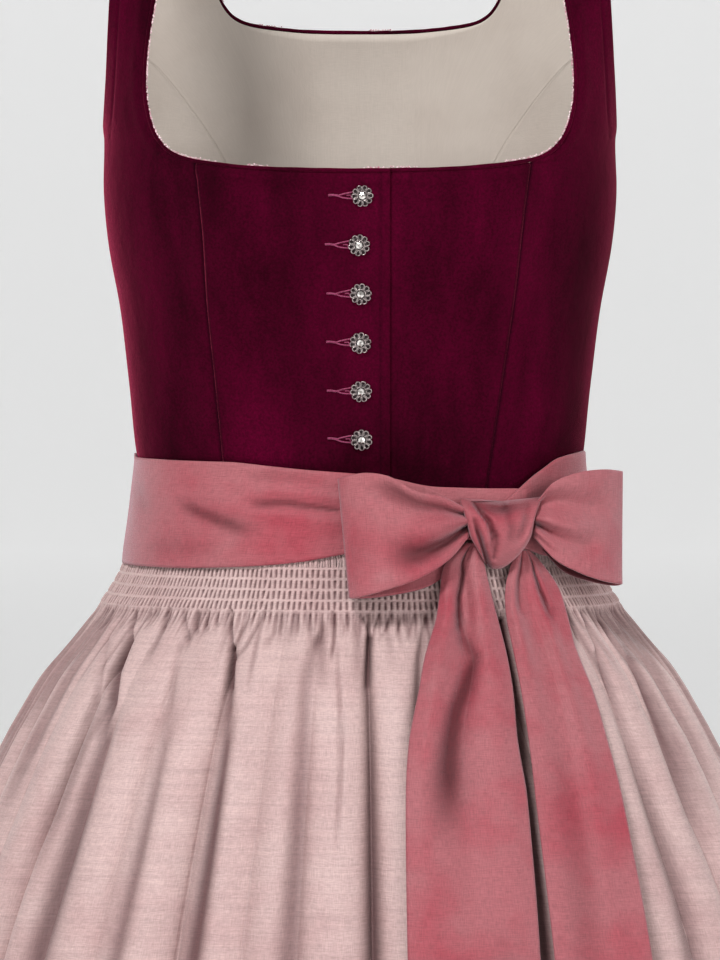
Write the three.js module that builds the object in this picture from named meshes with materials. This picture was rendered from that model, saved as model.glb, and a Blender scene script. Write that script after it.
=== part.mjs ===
// A dirndl in the shape it has when worn: a velvet bodice with six buttons, a gathered
// skirt, and an apron with a smocked top whose ties end in a bow at the front.
// Millimetres, +Z up, the front faces -Y. Heights are measured from the waist, and the
// finished group is lowered so that its origin lies midway between the shoulder seams.
// Right and left are the wearer's: right is -X, left is +X.
import * as THREE from "three";

// Driving sizes
const SHOULDER_HEIGHT = 372;
const CHEST_HEIGHT = 190;
const NECK_HEIGHT = 174;
const NECK = { dip: 3.5, reach: 97, straight: 91 };
const SEAM_GAP = 0.3;
const VELVET_THICKNESS = 1.5;
const LINING_THICKNESS = 1;
const LINING_GAP = 0.5;
const RIBBON_THICKNESS = 1;

// Turns a list of rows into objects with named columns; the first column is sorted upwards.
function table(columns, rows) {
  const entries = rows.map((row) => Object.fromEntries(columns.map((name, i) => [name, row[i]])));
  return entries.sort((a, b) => a[columns[0]] - b[columns[0]]);
}

// Half widths and depths of the bodice's outside; square is the exponent of its oval section
const BODICE = table(["height", "side", "front", "back", "square"], [
  [-18, 129, 95, 86, 2.25],
  [-6, 130.8, 97, 88, 2.25],
  [4, 133.8, 99.5, 90, 2.25],
  [45, 138.3, 108, 94, 2.25],
  [90, 144, 116, 100, 2.25],
  [130, 150.8, 122, 106, 2.25],
  [160, 153.6, 125, 110, 2.25],
  [190, 153, 128, 113, 2.25],
  [200, 154.3, 128, 114, 2.25],
  [240, 158, 128, 116, 2.25],
  [300, 175, 128, 116, 2.25],
  [372, 190, 128, 116, 2.25],
]);

// Above the chest the section narrows to nothing at the shoulder: (1 - rise ** power) ** root
const SHOULDER_SLOPE = { front: { power: 1.35, root: 0.625 }, back: { power: 2.4, root: 0.55 } };

// Half widths and depths of the outermost turn of the apron's ties
const SASH = table(["height", "side", "front", "back", "square"], [
  [-70, 143.3, 110.9, 101, 2.25],
  [-63, 142.5, 110.2, 100, 2.25],
  [-34, 138.6, 106.6, 96.5, 2.25],
  [-5, 135.2, 102.4, 92.8, 2.25],
  [12, 134.8, 101.6, 92.2, 2.25],
]);

// Half widths and depths of the skirt's outside before its folds; fold is how far the folds swing
const SKIRT = table(["height", "side", "front", "back", "square", "fold"], [
  [-18.3, 129, 95, 86, 2.25, 0],
  [-62, 138.4, 106.2, 98, 2.15, 0.5],
  [-90, 154.5, 117, 111, 2.08, 1.5],
  [-130, 184, 148, 156, 2, 4.5],
  [-190, 216, 175, 188, 2, 7],
  [-290, 258, 212, 228, 2, 8.5],
  [-450, 304, 254, 271, 2, 10],
  [-690, 349, 299, 314, 2, 12],
]);
const APRON_HEM = -660;

// Everything that hangs in front of ties and apron stays outside this envelope
const ENVELOPE = table(["height", "side", "front", "back", "square"], [
  [10, 135.4, 102.2, 92.7, 2.25],
  [-5, 135.7, 102.9, 93.3, 2.25],
  [-62, 142.7, 110.5, 100.5, 2.2],
  [-90, 160.5, 123.5, 118, 2.08],
  [-130, 192, 156, 164, 2],
  [-190, 226.5, 185.5, 198, 2],
  [-290, 270, 224, 240, 2],
  [-450, 317.5, 267.5, 285, 2],
  [-690, 364.5, 314.5, 330, 2],
]);

// Reads one column of a table at any key, along a smooth curve or along straight lines
function valueAt(rows, column, at, smooth = true) {
  const key = Object.keys(rows[0])[0];
  const last = rows.length - 1;
  let i = 0;
  while (i < last - 1 && at > rows[i + 1][key]) i += 1;
  const start = rows[i];
  const end = rows[i + 1];
  const span = end[key] - start[key];
  const u = THREE.MathUtils.clamp((at - start[key]) / span, 0, 1);
  if (!smooth) return THREE.MathUtils.lerp(start[column], end[column], u);
  const slope = (j) => {
    const before = rows[Math.max(j - 1, 0)];
    const after = rows[Math.min(j + 1, last)];
    return (after[column] - before[column]) / (after[key] - before[key]);
  };
  const u2 = u * u;
  const u3 = u2 * u;
  return (2 * u3 - 3 * u2 + 1) * start[column] + (u3 - 2 * u2 + u) * span * slope(i)
    + (3 * u2 - 2 * u3) * end[column] + (u3 - u2) * span * slope(i + 1);
}

function sectionAt(rows, height, smooth = true) {
  const columns = Object.keys(rows[0]).slice(1);
  return Object.fromEntries(columns.map((name) => [name, valueAt(rows, name, height, smooth)]));
}

// Distances to the neighbours that a normal is worked out from: radians and millimetres
const NORMAL_STEP = { ring: 0.002, angle: 0.004, height: 0.5 };

// Angles run round the body: 0 at the front's middle, +90 degrees at the wearer's left side
const RIGHT_ANGLE = Math.PI / 2;
const radians = THREE.MathUtils.degToRad;

function ringPoint(section, angle, height) {
  const power = 2 / section.square;
  const sine = Math.sin(angle);
  const cosine = Math.cos(angle);
  const depth = cosine > 0 ? section.front : section.back;
  return new THREE.Vector3(
    section.side * Math.sign(sine) * Math.abs(sine) ** power,
    -depth * Math.sign(cosine) * Math.abs(cosine) ** power,
    height,
  );
}

// The level direction that points straight out of a ring
function ringNormal(section, angle) {
  const along = ringPoint(section, angle + NORMAL_STEP.ring, 0)
    .sub(ringPoint(section, angle - NORMAL_STEP.ring, 0));
  return new THREE.Vector3(along.y, -along.x, 0).normalize();
}

// The angle at which a ring has a given distance from the middle plane
function angleAcross(section, across, facing = "front") {
  const reach = Math.min(Math.abs(across) / section.side, 1);
  const turn = Math.sign(across) * Math.asin(reach ** (section.square / 2));
  return facing === "front" ? turn : Math.PI - turn;
}

// Bodice surface
const BUST = { across: 70, height: 126, rise: 9, width: 38, tall: 42 };

function bodiceSection(height) {
  const section = sectionAt(BODICE, height);
  if (height > CHEST_HEIGHT) {
    const rise = Math.min((height - CHEST_HEIGHT) / (SHOULDER_HEIGHT - CHEST_HEIGHT), 1);
    for (const [name, { power, root }] of Object.entries(SHOULDER_SLOPE)) {
      section[name] *= (1 - rise ** power) ** root;
    }
  }
  return section;
}

function bodicePoint(angle, height) {
  const point = ringPoint(bodiceSection(height), angle, height);
  if (point.y < 0) {
    const sideways = (Math.abs(point.x) - BUST.across) / BUST.width;
    const upwards = (height - BUST.height) / BUST.tall;
    point.y -= BUST.rise * Math.exp(-(sideways ** 2) - upwards ** 2);
  }
  return point;
}

// A place on a surface, moved out along the surface's own normal
function lift(surface, place, offset) {
  const { angle, height } = place;
  const top = Math.min(height + NORMAL_STEP.height, SHOULDER_HEIGHT);
  const along = surface(angle + NORMAL_STEP.angle, height).sub(surface(angle - NORMAL_STEP.angle, height));
  const up = surface(angle, top).sub(surface(angle, height - NORMAL_STEP.height));
  const normal = along.cross(up).normalize();
  return surface(angle, height).addScaledVector(normal, offset);
}

// How far along a row each of its points lies, from 0 to 1
function progress(row) {
  const lengths = row.map((point, i) => (i ? point.distanceTo(row[i - 1]) : 0));
  const total = lengths.reduce((sum, length) => sum + length, 0);
  let reached = 0;
  return lengths.map((length) => {
    reached += length;
    return reached / total;
  });
}

// Triangles between two rows of points with any number of points in each
function zip(upper, lower, triangles, flipped = false) {
  const push = (a, b, c) => triangles.push(flipped ? [a, c, b] : [a, b, c]);
  const upperProgress = progress(upper);
  const lowerProgress = upper.length === lower.length ? upperProgress : progress(lower);
  let i = 0;
  let j = 0;
  while (i < upper.length - 1 || j < lower.length - 1) {
    const lowerNext = lowerProgress[j + 1] <= upperProgress[i + 1];
    const stepLower = i === upper.length - 1 || (j < lower.length - 1 && lowerNext);
    if (stepLower) {
      push(upper[i], lower[j], lower[j + 1]);
      j += 1;
    } else {
      push(upper[i], lower[j], upper[i + 1]);
      i += 1;
    }
  }
}

// A closed mesh from triangles of shared points, turned so that its faces point out
function closedGeometry(triangles) {
  const numbers = new Map();
  const positions = [];
  const numberOf = (point) => {
    if (!numbers.has(point)) {
      numbers.set(point, numbers.size);
      positions.push(point.x, point.y, point.z);
    }
    return numbers.get(point);
  };
  const volume = triangles.reduce((sum, [a, b, c]) => sum + a.dot(b.clone().cross(c)), 0);
  const index = triangles.flatMap(([a, b, c]) => (volume > 0 ? [a, b, c] : [a, c, b]).map(numberOf));
  const geometry = new THREE.BufferGeometry();
  geometry.setAttribute("position", new THREE.Float32BufferAttribute(positions, 3));
  geometry.setIndex(index);
  geometry.computeVertexNormals();
  return geometry;
}

// A wall of cloth from the rows of its outside and of its inside, listed from one end to the other
function wall(outer, inner) {
  const triangles = [];
  for (let i = 0; i < outer.length - 1; i += 1) zip(outer[i], outer[i + 1], triangles);
  for (let i = 0; i < inner.length - 1; i += 1) zip(inner[i], inner[i + 1], triangles, true);
  const first = (rows) => rows.map((row) => row[0]);
  const last = (rows) => rows.map((row) => row.at(-1));
  zip(inner[0], outer[0], triangles);
  zip(outer.at(-1), inner.at(-1), triangles);
  zip(first(outer), first(inner), triangles);
  zip(last(inner), last(outer), triangles);
  return closedGeometry(triangles);
}

// A wall between two offsets of a surface; an offset may be a function of the place
function shell(surface, grid, outside, inside) {
  const rows = (offset) => grid.map((row) => row.map((place) => {
    const distance = typeof offset === "function" ? offset(place) : offset;
    return lift(surface, place, distance);
  }));
  return wall(rows(outside), rows(inside));
}

// A wall on both sides of a grid of points
function ribbon(grid, thickness) {
  const rows = grid.length - 1;
  const columns = grid[0].length - 1;
  const side = (distance) => grid.map((row, i) => row.map((point, j) => {
    const along = grid[Math.min(i + 1, rows)][j].clone().sub(grid[Math.max(i - 1, 0)][j]);
    const across = row[Math.min(j + 1, columns)].clone().sub(row[Math.max(j - 1, 0)]);
    const normal = across.cross(along).normalize();
    return point.clone().addScaledVector(normal, distance);
  }));
  return wall(side(-thickness / 2), side(thickness / 2));
}

// A closed lump from rings with equal numbers of points, its ends closed by a middle point
function lump(rings) {
  const triangles = [];
  for (let i = 0; i < rings.length - 1; i += 1) {
    zip([...rings[i], rings[i][0]], [...rings[i + 1], rings[i + 1][0]], triangles);
  }
  const middle = (ring) => ring.reduce((sum, p) => sum.add(p), new THREE.Vector3())
    .divideScalar(ring.length);
  const top = middle(rings[0]);
  const bottom = middle(rings.at(-1));
  rings[0].forEach((point, i) => triangles.push([top, point, rings[0][(i + 1) % rings[0].length]]));
  rings.at(-1).forEach((point, i) => {
    triangles.push([bottom, rings.at(-1)[(i + 1) % rings.at(-1).length], point]);
  });
  return closedGeometry(triangles);
}

function spread(start, end, steps) {
  return Array.from({ length: steps + 1 }, (_, i) => THREE.MathUtils.lerp(start, end, i / steps));
}

const garment = new THREE.Group();
garment.position.z = -SHOULDER_HEIGHT;

function addPiece(name, geometry, material) {
  const mesh = new THREE.Mesh(geometry, material);
  mesh.name = name;
  garment.add(mesh);
  return mesh;
}

const velvet = new THREE.MeshStandardMaterial({ color: 0x4e0722, roughness: 0.85, metalness: 0 });
const liningCloth = new THREE.MeshStandardMaterial({ color: 0xada095, roughness: 0.8, metalness: 0 });
const silver = new THREE.MeshStandardMaterial({ color: 0x8f8b88, roughness: 0.35, metalness: 0.9 });
const skirtCloth = new THREE.MeshStandardMaterial({ color: 0x5a0f2a, roughness: 0.7, metalness: 0 });
const apronCloth = new THREE.MeshStandardMaterial({ color: 0xcfb0ac, roughness: 0.55, metalness: 0 });
const tieCloth = new THREE.MeshStandardMaterial({ color: 0xb8606a, roughness: 0.5, metalness: 0 });

// Bodice edges as distances from the middle plane
const FRONT_SEAM = {
  right: table(["height", "across"], [[-18, 78.5], [3, 80.6], [48, 84.6], [94, 89], [135, 91.5], [174, 95.4]]),
  left: table(["height", "across"], [[-18, 73.6], [3, 76.6], [48, 83], [94, 89.5], [135, 94.6], [174, 99]]),
};
const BACK_SEAM = table(["height", "across"], [
  [-18, 42], [8, 43.5], [35, 46], [75, 52.5], [110, 61], [145, 70.5], [180, 84], [212, 105], [237, 126], [252, 143.6],
]);
const FRONT_STRAP = table(["height", "neck", "armhole"], [
  [174, 97, 154], [175.2, 102, 154], [177.3, 107.5, 154], [181.5, 114, 154], [190, 120.5, 154],
  [203, 125, 152.6], [220, 127, 151.4], [250, 125, 149.4],
  [300, 116, 145.6], [340, 107, 143], [372, 100, 142],
]);
const BACK_ARMHOLE = table(["height", "across"], [
  [190, 154], [200, 152], [220, 148], [252, 144], [300, 142], [372, 142],
]);
const OVERLAP = { edge: 17.4, underlap: -10, rampStart: -22, rampEnd: -12, rise: 2 };
const TOP = SHOULDER_HEIGHT - 0.004;
const BACK_SEAM_GAP = 0.45;
const FRONT_HEIGHTS = [-18, 2, 22, 44, 66, 88, 110, 132, 153, 174];

// The side seams lie in the plane between front and back, half a gap away from it
function sideSeam(height, facing) {
  const section = bodiceSection(height);
  const depth = facing === "front" ? section.front : section.back;
  return RIGHT_ANGLE - Math.asin((SEAM_GAP / 2 / depth) ** (section.square / 2));
}

// Heights along the neckline, which dips a little towards the middle of the front
function neckDrop(across) {
  return NECK.dip * (1 - Math.min(Math.abs(across) / NECK.reach, 1) ** 3);
}

function frontGrid(edges, fractions) {
  return [...FRONT_HEIGHTS].reverse().map((height) => fractions.map((fraction) => {
    const [start, end] = edges(height);
    const across = THREE.MathUtils.lerp(start, end, fraction);
    const level = height === NECK_HEIGHT ? height - neckDrop(across) : height;
    return { angle: angleAcross(bodiceSection(level), across), height: level };
  }));
}

function overlapRise({ angle, height }) {
  const across = bodicePoint(angle, height).x;
  return OVERLAP.rise * THREE.MathUtils.smoothstep(across, OVERLAP.rampStart, OVERLAP.rampEnd);
}

function addFronts() {
  const rightEdges = (height) => [SEAM_GAP / 2 - valueAt(FRONT_SEAM.right, "across", height), OVERLAP.edge];
  const leftEdges = (height) => [OVERLAP.underlap, valueAt(FRONT_SEAM.left, "across", height) - SEAM_GAP / 2];
  const rightGrid = frontGrid(rightEdges, [0, 0.17, 0.34, 0.51, 0.66, 0.76, 0.88, 1]);
  const leftGrid = frontGrid(leftEdges, [0, 0.14, 0.27, 0.45, 0.63, 0.82, 1]);
  const rightInside = (place) => overlapRise(place) - VELVET_THICKNESS;
  addPiece("front_right", shell(bodicePoint, rightGrid, overlapRise, rightInside), velvet);
  addPiece("front_left", shell(bodicePoint, leftGrid, 0, -VELVET_THICKNESS), velvet);
}

const mirrored = (grid) => grid.map((row) => row.map(({ angle, height }) => ({ angle: -angle, height })));

function addSideFronts() {
  const heights = [...FRONT_HEIGHTS, 175.2, 177.3, 181.5, 190, 202, 222, 250, 285, 318, 344, 362, TOP];
  for (const side of ["right", "left"]) {
    const grid = heights.toReversed().map((height) => {
      const section = bodiceSection(height);
      const seam = valueAt(FRONT_SEAM[side], "across", height) + SEAM_GAP / 2;
      const inner = height > NECK_HEIGHT ? valueAt(FRONT_STRAP, "neck", height) : seam;
      const armhole = angleAcross(section, valueAt(FRONT_STRAP, "armhole", height));
      const outer = height > CHEST_HEIGHT ? armhole : sideSeam(height, "front");
      return spread(angleAcross(section, inner), outer, 5).map((angle) => ({ angle, height }));
    });
    const placed = side === "left" ? grid : mirrored(grid);
    addPiece(`side_front_${side}`, shell(bodicePoint, placed, 0, -VELVET_THICKNESS), velvet);
  }
}

const LINING_OUTSIDE = -VELVET_THICKNESS - LINING_GAP;
const LINING_INSIDE = LINING_OUTSIDE - LINING_THICKNESS;

function addSideBacks() {
  const heights = [-18, 8, 35, 75, 110, 145, 180, 190, 200, 212, 225, 237, 246];
  const grid = heights.toReversed().map((height) => {
    const section = bodiceSection(height);
    const seam = valueAt(BACK_SEAM, "across", height, false) + BACK_SEAM_GAP;
    const inner = angleAcross(section, seam, "back");
    const armhole = angleAcross(section, valueAt(BACK_ARMHOLE, "across", height), "back");
    const outer = height > CHEST_HEIGHT ? armhole : Math.PI - sideSeam(height, "back");
    return spread(outer, inner, 5).map((angle) => ({ angle, height }));
  });
  for (const [side, placed] of [["left", grid], ["right", mirrored(grid)]]) {
    addPiece(`side_back_${side}`, shell(bodicePoint, placed, 0, -VELVET_THICKNESS), velvet);
    addPiece(`lining_side_back_${side}`, shell(bodicePoint, placed, LINING_OUTSIDE, LINING_INSIDE), liningCloth);
  }
}

// The back's middle panel is a U: each row joins a point of the neckline to one of the outer edge
const BACK_BAND = table(["station", "neckAcross", "neckHeight", "outerAcross", "outerHeight"], [
  [0, 0, 260, 0, -18],
  [1, 15, 260, 21, -18],
  [2, 30, 260.3, 42, -18],
  [3, 39, 260.8, 43.5, 8],
  [4, 47, 261.5, 46, 35],
  [5, 55, 262.3, 52.5, 75],
  [6, 62, 263.2, 61, 110],
  [7, 69, 264.5, 70.5, 145],
  [8, 76, 267, 84, 180],
  [9, 82, 271.5, 105, 212],
  [10, 87, 279, 126, 237],
  [11, 91, 290, 143.3, 252],
  [12, 94, 304, 142.6, 280],
  [13, 97, 325, 142, 308],
  [14, 99, 348, 142, 338],
  [15, 99.8, 363, 142, 360],
  [16, 100, TOP, 142, TOP],
]);

function backPlace(across, height) {
  return { angle: angleAcross(bodiceSection(height), across, "back"), height };
}

function backBandGrid(columns) {
  const last = BACK_BAND.length - 1;
  return spread(-last, last, 2 * last).map((station) => {
    const row = BACK_BAND[Math.abs(station)];
    const side = Math.sign(station);
    const neck = backPlace(side * row.neckAcross, row.neckHeight);
    const outer = backPlace(side * row.outerAcross, row.outerHeight);
    return spread(0, 1, columns).map((u) => ({
      angle: THREE.MathUtils.lerp(neck.angle, outer.angle, u),
      height: THREE.MathUtils.lerp(neck.height, outer.height, u),
    }));
  });
}

function addBackCentre() {
  const grid = backBandGrid(4);
  addPiece("back_centre", shell(bodicePoint, grid, 0, -VELVET_THICKNESS), velvet);
  addPiece("lining_back_centre", shell(bodicePoint, grid, LINING_OUTSIDE, LINING_INSIDE), liningCloth);
}

// Neck binding: a round piping just outside the edge of the cloth
const PIPING_RADIUS = 1.4;
const PIPING_GAP = 0.5;
const PIPING_TOP = SHOULDER_HEIGHT - 0.02;
const PIPING_PARTING = 0.6;

function addBinding(name, places, depthOf, outwards) {
  const middle = places.map((place) => lift(bodicePoint, place, depthOf(place)));
  const centres = middle.map((point, i) => {
    const along = middle[Math.min(i + 1, middle.length - 1)].clone().sub(middle[Math.max(i - 1, 0)]);
    const normal = lift(bodicePoint, places[i], 1).sub(bodicePoint(places[i].angle, places[i].height));
    const away = along.cross(normal).normalize().multiplyScalar(outwards);
    return point.clone().addScaledVector(away, PIPING_RADIUS + PIPING_GAP);
  });
  const section = new THREE.Shape();
  section.absarc(0, 0, PIPING_RADIUS, 0, 2 * Math.PI);
  const path = new THREE.CatmullRomCurve3(centres);
  const steps = places.length + 3;
  const geometry = new THREE.ExtrudeGeometry(section, { steps, curveSegments: 3, extrudePath: path });
  addPiece(name, geometry, velvet);
}

function addBindings() {
  const frontPlace = (across, height) => ({ angle: angleAcross(bodiceSection(height), across), height });
  const strapHeights = [174, 175.2, 177.3, 181.5, 190, 202, 222, 250, 285, 318, 344, 362, PIPING_TOP];
  const strap = strapHeights.map((height) => [valueAt(FRONT_STRAP, "neck", height), height]);
  const neckline = (start, corner, side) => {
    const straight = spread(start, side * corner, 5).map((across) => [across, NECK_HEIGHT - neckDrop(across)]);
    return [...straight, ...strap.map(([across, height]) => [side * across, height])]
      .map(([across, height]) => frontPlace(across, height));
  };
  const wallMiddle = () => -VELVET_THICKNESS / 2;
  const rightMiddle = (place) => overlapRise(place) - VELVET_THICKNESS / 2;
  addBinding("neck_binding_front_right", neckline(OVERLAP.edge, NECK.straight, -1), rightMiddle, 1);
  addBinding("neck_binding_front_left", neckline(OVERLAP.edge + PIPING_PARTING, NECK.straight, 1), wallMiddle, -1);
  const last = BACK_BAND.length - 1;
  const backPlaces = spread(-last, last, 2 * last).map((station) => {
    const row = BACK_BAND[Math.abs(station)];
    return backPlace(Math.sign(station) * row.neckAcross, Math.min(row.neckHeight, PIPING_TOP));
  });
  addBinding("neck_binding_back", backPlaces, wallMiddle, 1);
}

// Buttons: a metal disc with nine petals round a raised middle; scallop is how far its rim
// draws in between the petals
const BUTTON = { count: 6, petals: 9, top: 153, bottom: 13.6, across: 1 };
const BUTTON_PROFILE = table(["level", "reach", "scallop"], [
  [0, 5.6, 0], [0.9, 7.2, 0.9], [2, 5.9, 0.9], [2.1, 3.6, 0], [3.3, 2, 0],
]);

function buttonGeometry() {
  const corners = 2 * BUTTON.petals;
  const rings = BUTTON_PROFILE.toReversed().map(({ level, reach, scallop }) => (
    Array.from({ length: corners }, (_, i) => {
      const angle = (2 * Math.PI * i) / corners;
      const radius = reach - (i % 2) * scallop;
      return new THREE.Vector3(radius * Math.cos(angle), radius * Math.sin(angle), level);
    })
  ));
  return lump(rings);
}

function addButtons() {
  const heights = spread(BUTTON.top, BUTTON.bottom, BUTTON.count - 1);
  heights.forEach((height, i) => {
    const place = { angle: angleAcross(bodiceSection(height), BUTTON.across), height };
    const button = addPiece(`button_${i + 1}`, buttonGeometry(), silver);
    const seat = lift(bodicePoint, place, OVERLAP.rise + SEAM_GAP);
    const outwards = lift(bodicePoint, place, OVERLAP.rise + 1 + SEAM_GAP).sub(seat);
    button.position.copy(seat);
    button.quaternion.setFromUnitVectors(new THREE.Vector3(0, 0, 1), outwards.normalize());
  });
}

// Skirt and apron folds: each fold is the stretch between two valleys, listed by angle
const FRONT_VALLEYS = table(["angle", "depth"], [
  [-90, 0.6], [-81, 0.4], [-71, 0.6], [-62, 0.4], [-53, 0.8], [-45, 0.35], [-36, 0.5], [-24.5, 1], [-15, 0.45],
  [-8, 0.35], [1.6, 0.9], [12, 0.6], [21, 0.7], [29, 0.9], [40, 0.5], [49, 0.6], [59, 0.8], [69, 0.5], [80, 0.7],
]);
const APRON_EDGE = 99;
const BACK_VALLEYS = table(["angle", "depth"], [
  [90, 0.6], [APRON_EDGE, 0.5], [114, 0.8], [130, 0.6], [144.5, 0.9], [160, 0.5], [172, 0.8], [187.5, 0.6],
  [202, 0.9], [218, 0.5], [232, 0.8], [246.5, 0.6], [360 - APRON_EDGE, 0.5], [270, 0.6],
]);
const COLUMNS_PER_FOLD = 3;
const CREST_ROUNDNESS = 0.7;

// Heights of the folds' surface between -1 and 1, at even steps between their valleys
function foldColumns(valleys) {
  const columns = valleys.slice(0, -1).flatMap((valley, i) => {
    const next = valleys[i + 1];
    return Array.from({ length: COLUMNS_PER_FOLD }, (_, k) => {
      const u = k / COLUMNS_PER_FOLD;
      const depth = THREE.MathUtils.lerp(valley.depth, next.depth, u);
      const crest = 2 * Math.sin(Math.PI * u) ** CREST_ROUNDNESS - 1;
      return {
        angle: radians(THREE.MathUtils.lerp(valley.angle, next.angle, u)),
        swing: 1 - depth + depth * crest,
      };
    });
  });
  const end = valleys.at(-1);
  return [...columns, { angle: radians(end.angle), swing: 1 - 2 * end.depth }];
}

// A point of the skirt's surface, moved out level; between the table's heights it is straight
function skirtPoint({ angle, swing }, height, out) {
  const upper = SKIRT.findLast((row) => row.height <= height + 1e-6) ?? SKIRT[0];
  const next = SKIRT[Math.min(SKIRT.indexOf(upper) + 1, SKIRT.length - 1)];
  const pointOf = (row) => ringPoint(row, angle, row.height)
    .addScaledVector(ringNormal(row, angle), row.fold * swing + out);
  if (next === upper) return pointOf(upper);
  const u = (height - upper.height) / (next.height - upper.height);
  return pointOf(upper).lerp(pointOf(next), u);
}

const SKIRT_CLOTH = 1.4;
const frontValleys = [...FRONT_VALLEYS, BACK_VALLEYS[0]];

function addSkirt() {
  const heights = SKIRT.map((row) => row.height).reverse();
  for (const [name, valleys, facing] of [["front", frontValleys, -1], ["back", BACK_VALLEYS, 1]]) {
    const columns = foldColumns(valleys);
    const side = (out) => heights.map((height) => columns.map((column, i) => {
      const point = skirtPoint(column, height, out);
      if (i === 0 || i === columns.length - 1) point.y = (facing * SEAM_GAP) / 2;
      return point;
    }));
    addPiece(`skirt_${name}`, wall(side(0), side(-SKIRT_CLOTH)), skirtCloth);
  }
}

// Apron: gathered by rows of stitches into ribs, which open into the skirt's folds below.
// Between ribs the cloth lies groove above its plain surface, and on a row of stitches stitched above it.
const APRON = { top: -44, gap: 0.7, cloth: 1.3 };
const SMOCKING = { top: -61.5, rows: 4, pitch: 6.1, ribs: 147, rise: 1.2, groove: 0.3, stitched: 0.2 };
const GATHER_HEIGHTS = { ribbed: -92, smooth: -106 };

function addApron() {
  const turned = (valley, turn) => ({ angle: valley.angle + turn, depth: valley.depth });
  const valleys = [turned(BACK_VALLEYS.at(-2), -360), ...frontValleys, BACK_VALLEYS[1]];
  const columns = foldColumns(valleys);
  const plain = (height, out) => columns.map((column) => skirtPoint(column, height, out));
  const inside = APRON.gap;
  const outside = APRON.gap + APRON.cloth;
  const ends = [radians(-APRON_EDGE), radians(APRON_EDGE)];
  const level = { swing: 0 };
  const ribbed = (height) => spread(ends[0], ends[1], 2 * SMOCKING.ribs).map((angle, i) => (
    skirtPoint({ ...level, angle }, height, outside + SMOCKING.groove + (i % 2) * SMOCKING.rise)
  ));
  const outer = [plain(APRON.top, outside), plain(SMOCKING.top, outside)];
  for (let row = 1; row <= SMOCKING.rows; row += 1) {
    const stitches = SMOCKING.top - row * SMOCKING.pitch;
    outer.push(ribbed(stitches + SMOCKING.pitch / 2));
    outer.push(plain(stitches, outside + SMOCKING.stitched));
  }
  outer.push(ribbed(GATHER_HEIGHTS.ribbed));
  outer.push(plain(GATHER_HEIGHTS.smooth, outside));
  const inner = [plain(APRON.top, inside)];
  for (const { height } of SKIRT.toReversed()) {
    if (height < GATHER_HEIGHTS.smooth && height > APRON_HEM) outer.push(plain(height, outside));
    if (height < APRON.top && height > APRON_HEM) inner.push(plain(height, inside));
  }
  outer.push(plain(APRON_HEM, outside));
  inner.push(plain(APRON_HEM, inside));
  addPiece("apron", wall(outer, inner), apronCloth);
}

// Waistband and ties are upright strips round the waist, each row running from top to bottom
function sashPoint(angle, height) {
  return ringPoint(sectionAt(SASH, height), angle, height);
}

function stripGrid(rows, steps) {
  return rows.map(({ angle, top, bottom }) => (
    spread(top, bottom, steps).map((height) => ({ angle, height }))
  ));
}

const WAISTBAND = { outside: -1.6, inside: -2.8, bottom: -43.7, end: 108 };

function addWaistband() {
  const edge = table(["turn", "top"], [[0, -17.5], [40, -17.5], [70, -14], [108, -8]]);
  const grid = stripGrid(spread(-WAISTBAND.end, WAISTBAND.end, 36).map((turn) => ({
    angle: radians(turn),
    top: valueAt(edge, "top", Math.abs(turn)),
    bottom: WAISTBAND.bottom,
  })), 1);
  addPiece("apron_waistband", shell(sashPoint, grid, WAISTBAND.outside, WAISTBAND.inside), tieCloth);
}

// Each tie starts behind the knot, goes round its side, crosses the other one at the back,
// and ends on the waistband's far end; layer is how far it is lifted over the other tie
const TIE_FRONT = {
  right: table(["turn", "top", "bottom", "layer"], [
    [-30, -22, -44, 0], [-22, -18, -45.5, 0], [-14, -14, -47, 0], [-4, -8, -50, 0], [3, -6, -53.4, 0],
    [11, -4.4, -57.4, 0], [20, -2.4, -59.8, 0], [30, -0.3, -61.2, 0], [39, 0.1, -62, 0], [47, 0.3, -62.4, 0],
    [55, 0.5, -62.4, 0], [63, 0.8, -62.4, 0], [70, 0.8, -62.4, 0], [77, 1, -62.4, 0], [83, 1, -62.4, 0],
  ]),
  left: table(["turn", "top", "bottom", "layer"], [
    [31, -28, -45, 0], [36, -24, -49, 0], [40, -18, -51, 0], [45, -10, -54, 0], [51, -4.3, -56, 0],
    [57, 0.6, -58, 0], [63, 2.6, -59, 0], [70, 3.9, -59.5, 0], [77, 4.6, -60, 0], [83, 4.7, -60, 0],
  ]),
};
const TIE_BACK = table(["turn", "top", "bottom", "layer"], [
  [90, 3, -61, 0.5], [97, 2.4, -61, 1.2], [105, 2, -60, 1.6], [115, 2, -60, 1.6], [125, 2, -60, 1.6], [135, -2, -61, 1.6],
  [145, -14, -62, 1.6], [156, -33, -64, 1.6], [168, -33, -64, 0], [180, -15, -47, 0], [192, -1, -31, 0],
  [204, -1, -31, 0], [215, -1, -50, 0], [225, 1, -58, 0], [235, 2, -60, 0], [245, 2, -60, 0], [255, 2, -60, 0],
]);
const CROSSING = { start: 160, end: 200, layer: 1.6 };

function addTies() {
  for (const [side, sign] of [["right", -1], ["left", 1]]) {
    const rows = [...TIE_FRONT[side], ...TIE_BACK].map((row) => {
      const over = side === "left" && row.turn > CROSSING.start && row.turn < CROSSING.end;
      return { ...row, angle: sign * radians(row.turn), layer: over ? CROSSING.layer : row.layer };
    });
    const surfaceAt = (offset) => rows.map((row) => (
      spread(row.top, row.bottom, 3).map((height) => (
        lift(sashPoint, { angle: row.angle, height }, row.layer + offset)
      ))
    ));
    addPiece(`tie_${side}`, wall(surfaceAt(0), surfaceAt(-RIBBON_THICKNESS)), tieCloth);
  }
}

// Places in the bow: distance from the middle plane, height and distance out of the envelope.
// Past the turning line the bow leaves the body and runs on straight.
const BOW_TURN = 96;

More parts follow.
